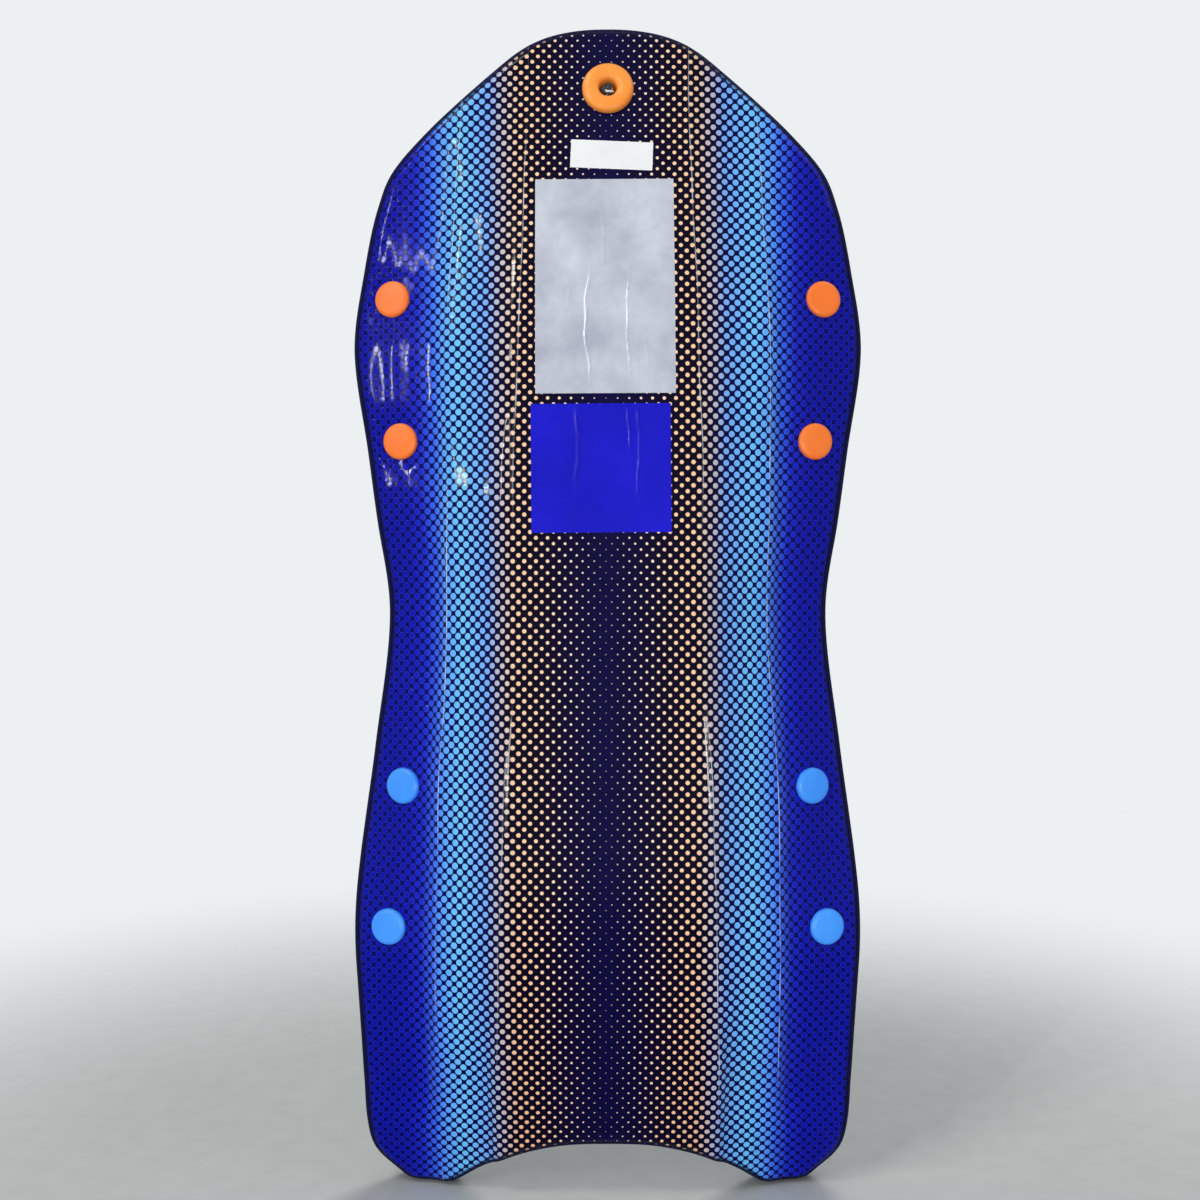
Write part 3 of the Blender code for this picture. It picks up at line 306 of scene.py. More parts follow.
def printed_film():
    """Glossy film: dots on navy, fading from royal blue at the rails through azure and peach."""
    film = Finish("printed_slick_film", Specular_IOR_Level=0.07)
    uv = film.uv("film")
    across, along = film.parts(uv)
    side = film.math("ABSOLUTE", across)
    share = film.math("DIVIDE", side, PRINT_HALF)

    def by_side(rows):
        return film.ramp(share, [(at / PRINT_HALF, colour) for at, colour in rows])

    cell = film.node("VectorMath", operation="SCALE", values={0: uv, "Scale": 1.0 / DOT_PITCH})
    reaches = []
    for shift in (0.0, 0.5):
        moved = film.vector("ADD", cell, (shift, shift, 0.5))
        inside = film.vector("SUBTRACT", film.vector("FRACTION", moved), (0.5, 0.5, 0.5))
        flat = film.vector("MULTIPLY", inside, (1.0, 1.0, 0.0))
        reaches.append(film.vector("LENGTH", flat, out=1))
    reach = film.times(film.math("MINIMUM", *reaches), DOT_PITCH * 1000.0)
    shares = [(at, (*(size / LARGEST_DOT,) * 3, 1.0)) for at, size in DOT_SIZES]
    edge = film.math("SUBTRACT", film.times(LARGEST_DOT, by_side(shares)), reach)

    ink, ground = (by_side([(at, srgb(*steps)) for at, *steps in rows]) for rows in (INK, GROUND))
    warm = film.mix(film.soft(along, 0.03, 0.42, 0.18, 0.0), ink, srgb(255, 150, 84), "MULTIPLY")
    ink = film.mix(film.soft(side, 0.098, 0.118, 1.0, 0.0), ink, warm)
    # Painted highlight: a pale blue ring screened over each dot's rim in the blue band towards the
    # rails.
    painted_rim_highlight = film.times(film.soft(edge, 0.15, 1.1, 1.0, 0.0),
                         film.span(side, 0.165, 0.205, 0.0, 0.09))
    ink = film.mix(painted_rim_highlight, ink, srgb(96, 120, 255), "SCREEN")
    colour = film.mix(film.soft(edge, -0.20, 0.20), ground, ink)
    wrapped = film.node("Attribute", attribute_name="rim", out="Fac")
    # Painted shade: the print darkens to navy where the film wraps round the chine and turns away
    # from the light.
    colour = film.mix(film.soft(wrapped, 0.003, 0.0085, 0.0, 0.94), colour, srgb(3, 4, 46))

    scuffs = film.noise(26.0, 5.0, 0.62, stretch=(1.0, 1.0, 0.35))
    gloss = film.math("MAXIMUM", film.span(scuffs, 0.56, 0.84, 0.04, 0.22),
                      film.soft(wrapped, 0.0045, 0.0085, 0.0, 0.85))
    wander = film.span(film.noise(4.0, 2.0), 0.0, 1.0, -0.0050, 0.0050)
    ridges, lines = [], []
    for distance, patches in zip(film.parts(film.uv("folds")), (2.3, 3.1)):
        shown = film.soft(film.noise(patches, 1.0), 0.42, 0.56)
        near = film.math("ABSOLUTE", film.math("ADD", distance, wander))
        for width, marks in ((0.0022, ridges), (0.0009, lines)):
            marks.append(film.times(film.soft(near, 0.0, width, 1.0, 0.0), shown))
    # Painted highlight: thin pale lines along the pad edges and creases stand in for glints on the
    # film's folds.
    painted_glint_strength = film.span(film.noise(90.0, 2.0, stretch=(1.0, 1.0, 0.4)), 0.36, 0.62, 0.12, 0.78)
    colour = film.mix(film.times(film.math("MAXIMUM", *lines), painted_glint_strength), colour, srgb(206, 218, 240))
    normal = film.bump(film.noise(11.0, 2.0), 0.16, 0.006)
    normal = film.bump(film.noise(62.0, 0.0, stretch=(1.0, 1.0, 0.13)), 0.20, 0.0020, normal)
    normal = film.bump(film.math("MAXIMUM", *ridges), 0.7, 0.0005, normal)
    normal = film.bump(film.soft(edge, -0.5, 0.7), 0.30, 0.00035, normal)
    return film.done(Base_Color=colour, Roughness=gloss, Normal=normal)


def cell_foam(name, colour, light, pebble, emboss):
    """Closed-cell foam: a pebbled skin, paler where it is rubbed, with painted highlight on its
    raised pebbles.
    """
    foam = Finish(name, Specular_IOR_Level=0.16)
    cells = foam.node("TexVoronoi", values={"Vector": foam.place(), "Scale": pebble})
    fine = foam.noise(1400.0, 3.0, 0.6)
    tone = colour
    # The second share paints the raised pebble centres paler than the hollows between them: painted
    # highlight and shade.
    for share in (foam.span(foam.noise(9.0, 4.0, 0.62), 0.42, 0.72, 0.0, 0.35),
                  foam.span(cells, 0.12, 0.62, 0.45, 0.0),
                  foam.span(foam.noise(420.0, 2.0), 0.60, 0.72, 0.0, 0.5)):
        tone = foam.mix(share, tone, light)
    skin = foam.bump(foam.span(cells, 0.0, 0.75, 1.0, 0.0), emboss, 0.0011)
    return foam.done(Base_Color=tone, Roughness=foam.span(fine, 0.3, 0.7, 0.66, 0.86),
                     Normal=foam.bump(fine, 0.25, 0.0003, skin))


def satin_plastic(name, colour, deep):
    """Moulded plastic with a faint grain, its tone deeper in random patches."""
    plastic = Finish(name, Specular_IOR_Level=0.30, Subsurface_Weight=0.08,
                     Subsurface_Radius=(0.004, 0.002, 0.001), Subsurface_Scale=1.0)
    tone = plastic.mix(plastic.span(plastic.noise(22.0), 0.3, 0.75), colour, deep)
    wear = plastic.span(plastic.noise(85.0, 4.0), 0.4, 0.7, 0.29, 0.43)
    grain = plastic.bump(plastic.noise(1500.0, 2.0), 0.12, 0.0003)
    return plastic.done(Base_Color=tone, Roughness=wear, Normal=grain)


def woven_webbing(rib=0.00145, hitch=0.0021):
    """Webbing: fine ribs along the band, each a row of small hitches."""
    web = Finish("black_webbing", Roughness=0.72, Sheen_Weight=0.25, Sheen_Roughness=0.5)
    across, along = web.parts(web.uv("cloth"))
    ribs = web.math("DIVIDE", across, rib)
    shift = web.times(web.math("FLOOR", ribs), math.pi)
    wave = web.math("SINE", web.math("ADD", web.times(along, 2.0 * math.pi / hitch), shift))
    height = web.times(web.math("ABSOLUTE", web.math("SINE", web.times(ribs, math.pi))),
                       web.math("ADD", 0.65, web.times(wave, 0.35)))
    # Painted shade: the tone follows the rib height, darker in the grooves between the ribs and
    # lighter on their tops.
    tone = web.mix(height, (0.004, 0.004, 0.005, 1.0), (0.030, 0.030, 0.034, 1.0))
    return web.done(Base_Color=tone, Normal=web.bump(height, 0.8, 0.0006))


def padded_sleeve_cloth(pitches=(0.0016, 0.0020)):
    """Soft black sleeve: a fine knit over foam."""
    sleeve = Finish("grip_foam", Roughness=0.8, Sheen_Weight=0.3, Sheen_Roughness=0.45)
    ways = sleeve.parts(sleeve.uv("cloth"))
    knit = sleeve.times(*[sleeve.math("SINE", sleeve.times(way, 2.0 * math.pi / pitch))
                          for way, pitch in zip(ways, pitches)])
    # Painted shade: the tone follows the knit's height, darker in its hollows and lighter on its
    # raised loops.
    tone = sleeve.mix(sleeve.span(knit, -1.0, 1.0), (0.008, 0.008, 0.010, 1.0),
                      (0.028, 0.028, 0.033, 1.0))
    creases = sleeve.bump(sleeve.noise(60.0), 0.35, 0.0015)
    return sleeve.done(Base_Color=tone, Normal=sleeve.bump(knit, 0.5, 0.0004, creases))


def braided_cord():
    """Black braided rope with white tracer strands, which the mesh carries as an attribute."""
    cord = Finish("braided_rope", Roughness=0.75, Sheen_Weight=0.2, Sheen_Roughness=0.5)
    tracer = cord.node("Attribute", attribute_name="tracer", out="Fac")
    fibre = cord.noise(900.0, 2.0)
    tone = cord.mix(tracer, (0.008, 0.008, 0.010, 1.0), (0.78, 0.78, 0.76, 1.0))
    tone = cord.mix(cord.span(fibre, 0.3, 0.8, 0.0, 0.22), tone, (0.08, 0.08, 0.09, 1.0))
    return cord.done(Base_Color=tone, Normal=cord.bump(fibre, 0.5, 0.0004))


def sewing_thread():
    thread = Finish("sewing_thread", Roughness=0.55)
    tone = thread.mix(thread.noise(700.0), (0.05, 0.05, 0.055, 1.0), (0.16, 0.16, 0.17, 1.0))
    return thread.done(Base_Color=tone)


def bare_sticker(name, colour, pale, metal, roughness, crinkle, shine):
    """A blank vinyl sticker, crinkled with the film under it."""
    vinyl = Finish(name, Specular_IOR_Level=shine, Metallic=metal)
    cloud = vinyl.span(vinyl.noise(16.0, 4.0, 0.6), 0.35, 0.7)
    folds = vinyl.bump(vinyl.noise(45.0, stretch=(1.0, 1.0, 0.30)), crinkle, 0.003)
    fine = vinyl.bump(vinyl.noise(240.0), 0.5 * crinkle, 0.0006, folds)
    gloss = vinyl.span(vinyl.noise(60.0), 0.3, 0.7, roughness - 0.05, roughness + 0.10)
    return vinyl.done(Base_Color=vinyl.mix(cloud, srgb(*colour), srgb(*pale)), Normal=fine,
                      Roughness=gloss)


# Meshes

def mesh_of(name, vertices, faces, sharp):
    """A closed mesh whose faces point outwards, smooth apart from its sharp edges."""
    mesh = bpy.data.meshes.new(name)
    mesh.from_pydata(np.asarray(vertices, dtype=float).tolist(), [], faces)
    work = bmesh.new()
    work.from_mesh(mesh)
    bmesh.ops.recalc_face_normals(work, faces=work.faces)
    work.to_mesh(mesh)
    work.free()
    mesh.shade_smooth()
    mesh.set_sharp_from_angle(angle=math.radians(sharp))
    return mesh


def bands(loops):
    """Faces between each closed loop of vertices and the next."""
    return [face for lower, upper in zip(loops, loops[1:]) for face in np.column_stack(
        (lower, np.roll(lower, -1), np.roll(upper, -1), upper)).tolist()]


def tube_faces(total, count):
    """Faces of a tube of equal loops of vertices, closed at both ends."""
    loops = np.arange(total).reshape(-1, count)
    return [loops[0][::-1].tolist(), loops[-1].tolist(), *bands(loops)]


def grid_quads(columns, rows):
    """The cells of a grid whose vertices are counted column by column."""
    corner = np.arange(columns * rows).reshape(columns, rows)[:-1, :-1].ravel()
    return np.column_stack((corner, corner + rows, corner + rows + 1, corner + 1))


def border(grid):
    """The values on the border of a table, in order round it."""
    return np.concatenate((grid[:-1, 0], grid[-1, :-1], grid[:0:-1, -1], grid[0, :0:-1]))


def paint_uv(mesh, name, flat):
    """Gives each corner the flat coordinates of its vertex."""
    layer = mesh.uv_layers.new(name=name)
    corners = np.zeros(len(mesh.loops), dtype=np.int32)
    mesh.loops.foreach_get("vertex_index", corners)
    layer.data.foreach_set("uv", np.asarray(flat, dtype=np.float32)[corners].ravel())


def mark(mesh, name, values):
    """Gives each vertex a number that a material reads by name."""
    layer = mesh.attributes.new(name, "FLOAT", "POINT")
    layer.data.foreach_set("value", np.asarray(values, dtype=np.float32))


def fit(name, mesh, material, slot, *nodes):
    """Adds a finished piece that stands for some CAD nodes, or that is extra."""
    piece = add_object(name, mesh)
    mesh.materials.clear()
    mesh.materials.append(material)
    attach(piece, "root")
    if nodes:
        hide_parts(*nodes)
    return piece


def to_frame(point):
    """From depth to the frame's own Y."""
    return Vector((point[0], point[1] + PAD_PLANE, point[2]))


def blend(p, q, start, end, t):
    share = (t - start) / (end - start)
    return p * (1.0 - share) + q * share


def smooth_curve(points, per_span):
    """Points on a smooth curve through the given ones (centripetal Catmull-Rom)."""
    points = [np.array(p, dtype=float) for p in points]
    chain = [2 * points[0] - points[1], *points, 2 * points[-1] - points[-2]]
    curve = []
    for a, b, c, d in zip(chain, chain[1:], chain[2:], chain[3:]):
        steps = [math.sqrt(np.linalg.norm(q - p)) for p, q in ((a, b), (b, c), (c, d))]
        k0, k1, k2, k3 = np.cumsum([0.0] + steps)
        for t in np.linspace(k1, k2, per_span, endpoint=False):
            ab, bc, cd = blend(a, b, k0, k1, t), blend(b, c, k1, k2, t), blend(c, d, k2, k3, t)
            curve.append(blend(blend(ab, bc, k0, k2, t), blend(bc, cd, k1, k3, t), k1, k2, t))
    return np.array([*curve, points[-1]])


def ease(share):
    share = np.clip(share, 0.0, 1.0)
    return share * share * (3.0 - 2.0 * share)


def running_length(line):
    return np.concatenate(([0.0], np.cumsum(np.linalg.norm(np.diff(line, axis=0), axis=1))))


# Outline and running surface

class Outline:
    """The sled's half outline, from the tail notch round to the nose tip."""

    def __init__(self):
        to_hip, to_waist = HIP_HEIGHT - TAIL_HEIGHT, WAIST_HEIGHT - HIP_HEIGHT
        to_shoulder, to_corner = SHOULDER_HEIGHT - WAIST_HEIGHT, NOSE_HEIGHT - SHOULDER_HEIGHT
        tail = [(0.0, NOTCH_DEPTH), (0.055, NOTCH_DEPTH - 0.0030), (0.105, NOTCH_DEPTH - 0.0165),
                (FOOT_INNER - 0.036, 0.0235), (FOOT_INNER - 0.013, 0.0070), (FOOT_INNER, 0.0),
                (FOOT_OUTER, 0.0), (FOOT_OUTER + 0.0185, 0.0150), (TAIL_HALF, TAIL_HEIGHT)]
        side = [(TAIL_HALF + 0.0075, TAIL_HEIGHT + 0.133 * to_hip),
                (HIP_HALF - 0.0055, TAIL_HEIGHT + 0.486 * to_hip),
                (HIP_HALF, HIP_HEIGHT), (HIP_HALF - 0.0045, HIP_HEIGHT + 0.209 * to_waist),
                (WAIST_HALF + 0.0165, HIP_HEIGHT + 0.562 * to_waist), (WAIST_HALF, WAIST_HEIGHT),
                (WAIST_HALF + 0.0125, WAIST_HEIGHT + 0.344 * to_shoulder),
                (SHOULDER_HALF - 0.0145, WAIST_HEIGHT + 0.601 * to_shoulder),
                (SHOULDER_HALF, SHOULDER_HEIGHT),
                (SHOULDER_HALF - 0.0115, SHOULDER_HEIGHT + 0.434 * to_corner),
                (NOSE_HALF + 0.0135, SHOULDER_HEIGHT + 0.804 * to_corner), (NOSE_HALF, NOSE_HEIGHT)]
        nose = [(NOSE_HALF - 0.039, NOSE_HEIGHT + 0.045), (0.122, LENGTH - 0.0445),
                (0.096, LENGTH - 0.0245), (0.066, LENGTH - 0.0095), (0.034, LENGTH - 0.0020),
                (0.0, LENGTH)]
        keys = tail + side + nose
        keys = [(-keys[1][0], keys[1][1]), *keys, (-keys[-2][0], keys[-2][1])]
        self.line = np.maximum(smooth_curve(keys, SPAN_STEPS)[SPAN_STEPS:-SPAN_STEPS], 0.0)
        along = np.gradient(self.line, axis=0)
        out = np.column_stack((along[:, 1], -along[:, 0]))
        self.out = out / np.linalg.norm(out, axis=1)[:, None]
        self.out[0], self.out[-1] = (0.0, -1.0), (0.0, 1.0)
        self.tail_corner = (len(tail) - 1) * SPAN_STEPS
        self.nose_corner = (len(tail) + len(side) - 1) * SPAN_STEPS
        self.top = len(self.line) - 1
        self.steps = np.arange(len(self.line), dtype=float)

    def facing(self, step):
        return [np.interp(step, self.steps, values) for values in self.out.T]

    def at(self, step, inset):
        x, z = (np.interp(step, self.steps, values) for values in self.line.T)
        out_x, out_z = self.facing(step)
        return x - inset * out_x, z - inset * out_z

    def step_where(self, axis, value, inset, first, last):
        """The step between first and last at which the inset line's x (0) or z (1) has a value."""
        steps = self.steps[first:last + 1]
        values = np.array(self.at(steps, inset)[axis])
        order = np.argsort(values)
        return float(np.interp(value, values[order], steps[order]))

    def half_width(self, height):
        step = self.step_where(1, height, 0.0, self.tail_corner, self.nose_corner)
        return float(self.at(step, 0.0)[0])


def section_at(height):
    """Pad half, step, crease place and the three slopes, one column each, at any heights."""
    heights = SECTIONS[:, 0]
    height = np.clip(height, heights[0], heights[-1])
    index = np.clip(np.searchsorted(heights, height, side="right") - 1, 0, len(heights) - 2)
    share = ease((height - heights[index]) / (heights[index + 1] - heights[index]))[..., None]
    return SECTIONS[index, 1:] * (1.0 - share) + SECTIONS[index + 1, 1:] * share


def kick(height):
    """Depth of the pad: flat amidships, kicked towards the deck at both ends."""
    run = np.maximum(TAIL_KICK_START - height, 0.0)
    tail = TAIL_KICK_RADIUS - np.sqrt(TAIL_KICK_RADIUS ** 2 - run ** 2)
    run = np.maximum(height - NOSE_KICK_START, 0.0)
    slope = math.tan(math.radians(NOSE_KICK_ANGLE))
    curved = np.minimum(run, NOSE_KICK_LENGTH)
    return tail + 0.5 * slope * curved ** 2 / NOSE_KICK_LENGTH + slope * (run - curved)


def creased_depth(x, height):
    """Depth of the slick surface with its creases sharp."""
    x, height = np.broadcast_arrays(np.abs(np.asarray(x, dtype=float)), height)
    pad, step, crease, *slopes = np.moveaxis(section_at(height), -1, 0)
    reach = x - pad
    depth = kick(height) + step * np.clip(reach / STEP_WIDTH, 0.0, 1.0)
    runs = (np.clip(reach - STEP_WIDTH, 0.0, crease - pad - STEP_WIDTH),
            np.clip(x - crease, 0.0, CREASE_WIDTH), np.maximum(x - crease - CREASE_WIDTH, 0.0))
    for run, slope in zip(runs, slopes):
        depth = depth + run * np.tan(np.radians(slope))
    return depth


def rounded_depth(x, height):
    """Depth of the slick surface with its creases rounded over."""
    shifts = np.linspace(-1.0, 1.0, 7)
    weights = np.cos(0.5 * math.pi * shifts * 0.85)
    return sum(weight * creased_depth(x + shift * CREASE_ROUNDING, height)
               for shift, weight in zip(shifts, weights)) / weights.sum()


def seat_on_film(x, height, reach=0.015):
    """A seat on the slick surface: its point, and the direction square to it towards the deck."""
    slope_x, slope_z = (
        float(creased_depth(x + a, height + b) - creased_depth(x - a, height - b)) / (2 * reach)
        for a, b in ((reach, 0.0), (0.0, reach)))
    point = Vector((x, float(creased_depth(x, height)), height))
    return point, Vector((-slope_x, 1.0, -slope_z)).normalized()


def deck_distance(point, axis):
    """How far along an axis from the slick surface the deck's surface lies."""
    distance = SLAB
    for _ in range(12):
        there = point + axis * distance
        distance += float(creased_depth(there.x, there.z)) + SLAB - there.y
    return distance


def grommet_seat():
    """The grommet's seat on the film, and how far behind it the deck lies."""
    point, axis = seat_on_film(0.0, GROMMET_HEIGHT)
    return point, axis, deck_distance(point, axis)


class Hull:
    """The slab's layers on one grid whose columns follow the creases."""

    def __init__(self, outline, front_presses, deck_presses):
        self.outline = outline
        self.front_presses, self.deck_presses = front_presses, deck_presses
        last_zone, last = len(ZONE_COLUMNS) - 1, sum(ZONE_COLUMNS)
        zones = np.append(np.repeat(np.arange(last_zone + 1), ZONE_COLUMNS), last_zone)
        shares = np.concatenate([np.arange(n) / n for n in ZONE_COLUMNS] + [[1.0]])
        tail, nose = outline.tail_corner, outline.nose_corner

        def column_places(heights, edge):
            pad, _, crease = section_at(heights)[..., :3].T
            bounds = np.array([0 * pad, pad, pad + STEP_WIDTH, crease, crease + CREASE_WIDTH,
                               0 * pad + edge])
            k = np.arange(last + 1)
            return bounds[zones, k] * (1.0 - shares) + bounds[zones + 1, k] * shares

        def end_steps(height, corner, first, final):
            places = column_places(np.full(last + 1, height), outline.at(corner, RAIL_INSET)[0])
            return [*(outline.step_where(0, x, RAIL_INSET, first, final) for x in places[:-1]),
                    float(corner)]

        tail_steps = end_steps(SECTIONS[0, 0], tail, 0, tail)
        nose_steps = end_steps(SECTIONS[-1, 0], nose, nose, outline.top)
        tail_z, nose_z = (outline.at(corner, RAIL_INSET)[1] for corner in (tail, nose))
        heights = np.linspace(tail_z, nose_z, ROWS + 1)[1:-1]
        side_steps = [float(tail), *(outline.step_where(1, z, RAIL_INSET, tail, nose)
                                     for z in heights), float(nose)]
        low, high, side = (np.column_stack(outline.at(np.array(steps), RAIL_INSET))
                           for steps in (tail_steps, nose_steps, side_steps))
        half = np.zeros((last + 1, ROWS + 1, 2))
        for j, edge in enumerate(side[:, 0]):
            half[:, j, 1] = low[:, 1] * (1.0 - j / ROWS) + high[:, 1] * j / ROWS
            half[:, j, 0] = column_places(half[:, j, 1], edge)
        half[:, 0], half[:, -1], half[-1] = low, high, side
        self.grid = np.concatenate((half[:0:-1] * (-1.0, 1.0), half))
        self.columns = len(self.grid)
        numbers = np.arange(self.columns * (ROWS + 1)).reshape(self.columns, -1)
        mirrored = np.abs(np.arange(self.columns) - last)
        steps = np.tile(side_steps, (self.columns, 1))
        steps[:, 0], steps[:, -1] = (np.array(end)[mirrored] for end in (tail_steps, nose_steps))
        self.rim, self.rim_steps = border(numbers), border(steps)
        self.rim_side = np.where(self.rim >= last * (ROWS + 1), 1.0, -1.0)
        self.measure_film()

    def measure_film(self):
        """Tables of the film's own lengths, across and along, for its print."""
        self.xs, self.zs = np.linspace(0.0, 0.30, 201), np.linspace(0.0, LENGTH, 255)
        depth = rounded_depth(self.xs[:, None], self.zs[None, :])
        stretch = np.hypot(1.0, np.gradient(depth, self.xs, axis=0))
        pieces = 0.5 * (stretch[1:] + stretch[:-1]) * np.diff(self.xs)[:, None]
        self.across = np.concatenate((np.zeros((1, len(self.zs))), np.cumsum(pieces, axis=0)))
        self.along = running_length(np.column_stack((kick(self.zs), self.zs)))

    def film_place(self, x, z):
        """Where a point of the film lies on the flat print."""
        column = np.interp(np.abs(x), self.xs, np.arange(len(self.xs)))
        row = np.interp(z, self.zs, np.arange(len(self.zs)))
        i = np.minimum(column.astype(int), len(self.xs) - 2)
        j = np.minimum(row.astype(int), len(self.zs) - 2)
        a, b = column - i, row - j
        near, far = (self.across[i, k] * (1 - a) + self.across[i + 1, k] * a for k in (j, j + 1))
        across = np.sign(x) * (near * (1 - b) + far * b) - PRINT_SHIFT
        return np.column_stack((across, np.interp(z, self.zs, self.along)))

    def surface(self, x, z, level):
        """Points of the slab at a level, pressed in round the plugs and the deck discs."""
        depth = rounded_depth(x, z) + level
        towards_deck = level / SLAB
        for presses, share in ((self.front_presses, 1.0 - towards_deck),
                               (self.deck_presses, -towards_deck)):
            for px, pz, radius, fall, press in presses:
                reach = np.hypot(x - px, z - pz)
                depth = depth + share * press * ease((radius + fall - reach) / fall)
        return np.column_stack((x, PAD_PLANE + depth, z))

    def layer(self, name, low, rings, high, holes):
        """A closed layer between two levels, with rings round its edge and holes through it."""
        x, z = self.grid.reshape(-1, 2).T
        size, round_it = len(x), len(self.rim)
        sheets = [self.surface(x, z, level) for level in (low, high)]
        flats, rims, places = [self.film_place(x, z)] * 2, [0.0 * x] * 2, [(x, z)] * 2
        x0, z0 = self.outline.at(self.rim_steps, RAIL_INSET)
        out_x, out_z = self.outline.facing(self.rim_steps)
        out = np.column_stack((self.rim_side * out_x, out_z))
        rim_flat = self.film_place(self.rim_side * x0, z0)
        loops = [self.rim]
        for number, (inset, level) in enumerate(rings):
            rx, rz = self.outline.at(self.rim_steps, inset)
            rx, rz = self.rim_side * rx, np.maximum(rz, 0.0)
            turn = math.atan2(RAIL_INSET - inset, max(CHINE_RADIUS - level, 1e-6))
            reach = CHINE_RADIUS * max(turn, 0.0)
            sheets.append(self.surface(rx, rz, level))
            flats.append(rim_flat + reach * out)
            rims.append(np.full(round_it, reach))
            places.append((rx, rz))
            loops.append(2 * size + number * round_it + np.arange(round_it))
        loops.append(size + self.rim)
        quads = grid_quads(self.columns, ROWS + 1)
        middle = np.column_stack((x, z))[quads].mean(axis=1)
        kept = np.ones(len(quads), dtype=bool)
        for *hole, radius in holes:
            kept &= np.hypot(*(middle - hole).T) > radius
        faces = [*quads[kept].tolist(), *(quads[kept][:, ::-1] + size).tolist()]
        open_edges = {}
        for quad in quads[~kept].tolist():
            for a, b in zip(quad, quad[1:] + quad[:1]):
                if open_edges.pop((b, a), None) is None:
                    open_edges[a, b] = True
        faces += [[a, b, b + size, a + size] for a, b in open_edges]
        mesh = mesh_of(name, np.concatenate(sheets), faces + bands(loops), 40.0)
        paint_uv(mesh, "film", np.concatenate(flats))
        x, z = np.concatenate(places, axis=1)
        pad, _, crease = section_at(z)[:, :3].T
        paint_uv(mesh, "folds", np.column_stack((np.abs(x) - pad, np.abs(x) - crease)))
        mark(mesh, "rim", np.concatenate(rims))
        return mesh


def chine(radius, angle):
    """Inset and level of a point on the rounded edge of the slick side."""
    turn = math.radians(angle)
    return RAIL_INSET - radius * math.sin(turn), CHINE_RADIUS - radius * math.cos(turn)


def deck_edge(radius, angle):
    """Inset and level of a point on the rounded edge of the deck."""
    turn = math.radians(angle)
    level = SLAB - DECK_EDGE_RADIUS + radius * math.cos(turn)
    return DECK_EDGE_RADIUS - radius * math.sin(turn), level


def film_rings():
    """Rings of the film's edge, round the chine and back inside it."""
    angles = np.linspace(9.0, FILM_WRAP - 3.0, 8)
    inner = CHINE_RADIUS - FILM
    return [*(chine(CHINE_RADIUS, a) for a in angles), chine(CHINE_RADIUS - 0.25 * FILM, FILM_WRAP),
            chine(inner, FILM_WRAP), *(chine(inner, a) for a in angles[::-1])]


def core_rings():
    """Rings of the core's edge, inside the film, out to the rail and inside the deck sheet."""
    low, high = CHINE_RADIUS - FILM - GAP, DECK_EDGE_RADIUS - DECK_SHEET - GAP
    low_end, high_end = FILM_WRAP + 1.5, DECK_WRAP + 1.5
    shoulder, soft = RAIL_INSET / math.sin(math.radians(low_end)), 0.0012
    return [*(chine(low, a) for a in np.linspace(12.0, low_end, 6)),
            chine(shoulder - soft, low_end), (0.2 * soft, chine(shoulder, low_end)[1] + soft),
            (0.0, 0.5 * SLAB), (0.0, SLAB - DECK_EDGE_RADIUS),
            *(deck_edge(DECK_EDGE_RADIUS, a) for a in (82.0, high_end)),
            *(deck_edge(high, a) for a in np.linspace(high_end, 12.0, 6))]


def deck_rings():
    """Rings of the deck sheet's edge, up its inner side and back round its outer side."""
    inner = DECK_EDGE_RADIUS - DECK_SHEET
    angles = np.linspace(DECK_WRAP - 4.0, 9.0, 8)
    return [*(deck_edge(inner, a) for a in angles[::-1]), deck_edge(inner, DECK_WRAP),
            deck_edge(DECK_EDGE_RADIUS - 0.2 * DECK_SHEET, DECK_WRAP),
            *(deck_edge(DECK_EDGE_RADIUS, a) for a in angles)]


# Turned pieces

def rounded(profile, rounds):
    """A profile of (radius, height) points with its corners rounded over, by their index."""
    line = []
    points = [Vector(p) for p in profile]
    for index, point in enumerate(points):
        size = rounds.get(index, 0.0)
        if not size:
            line.append(tuple(point))
            continue
        before, after = (point + (points[neighbour % len(points)] - point).normalized() * size
                         for neighbour in (index - 1, index + 1))
        for t in np.linspace(0.0, 1.0, 7):
            line.append(tuple(before.lerp(point, t).lerp(point.lerp(after, t), t)))
    return line


def turned(name, profile, seat, segments=72, closed=False):
    """A solid turned about a seat's axis. A closed profile runs round a ring's section."""
    point, axis = seat
    side = axis.orthogonal().normalized()
    other = axis.cross(side)
    turns = [2.0 * math.pi * i / segments for i in range(segments)]
    vertices, loops = [], []
    for radius, height in profile:
        centre = point + axis * height
        start = len(vertices)
        if radius < 1e-6:
            vertices.append(centre)
            loops.append([start] * segments)
        else:
            vertices += [centre + (side * math.cos(t) + other * math.sin(t)) * radius
                         for t in turns]
            loops.append(list(range(start, start + segments)))
    faces = [list(dict.fromkeys(face)) for face in bands(loops + loops[:1] if closed else loops)]
    return mesh_of(name, vertices, faces, 35.0)


def plug_profile(stem_length):
    """Head of a bottom plug: a low dome inside a rounded rim, on its stem."""
    back, rim, top = PLUG_SEAT - GAP, PLUG_RADIUS - 0.0026, -PLUG_HEIGHT
    return rounded([(0.0, top + 0.0004), (0.6 * rim, top + 0.0003), (rim, top + 0.0006),
                    (PLUG_RADIUS - 0.0002, top + 0.0026), (PLUG_RADIUS, back),
                    (STEM_RADIUS, back), (STEM_RADIUS, stem_length), (0.0, stem_length)],
                   {2: 0.0022, 3: 0.0015, 6: 0.0006})


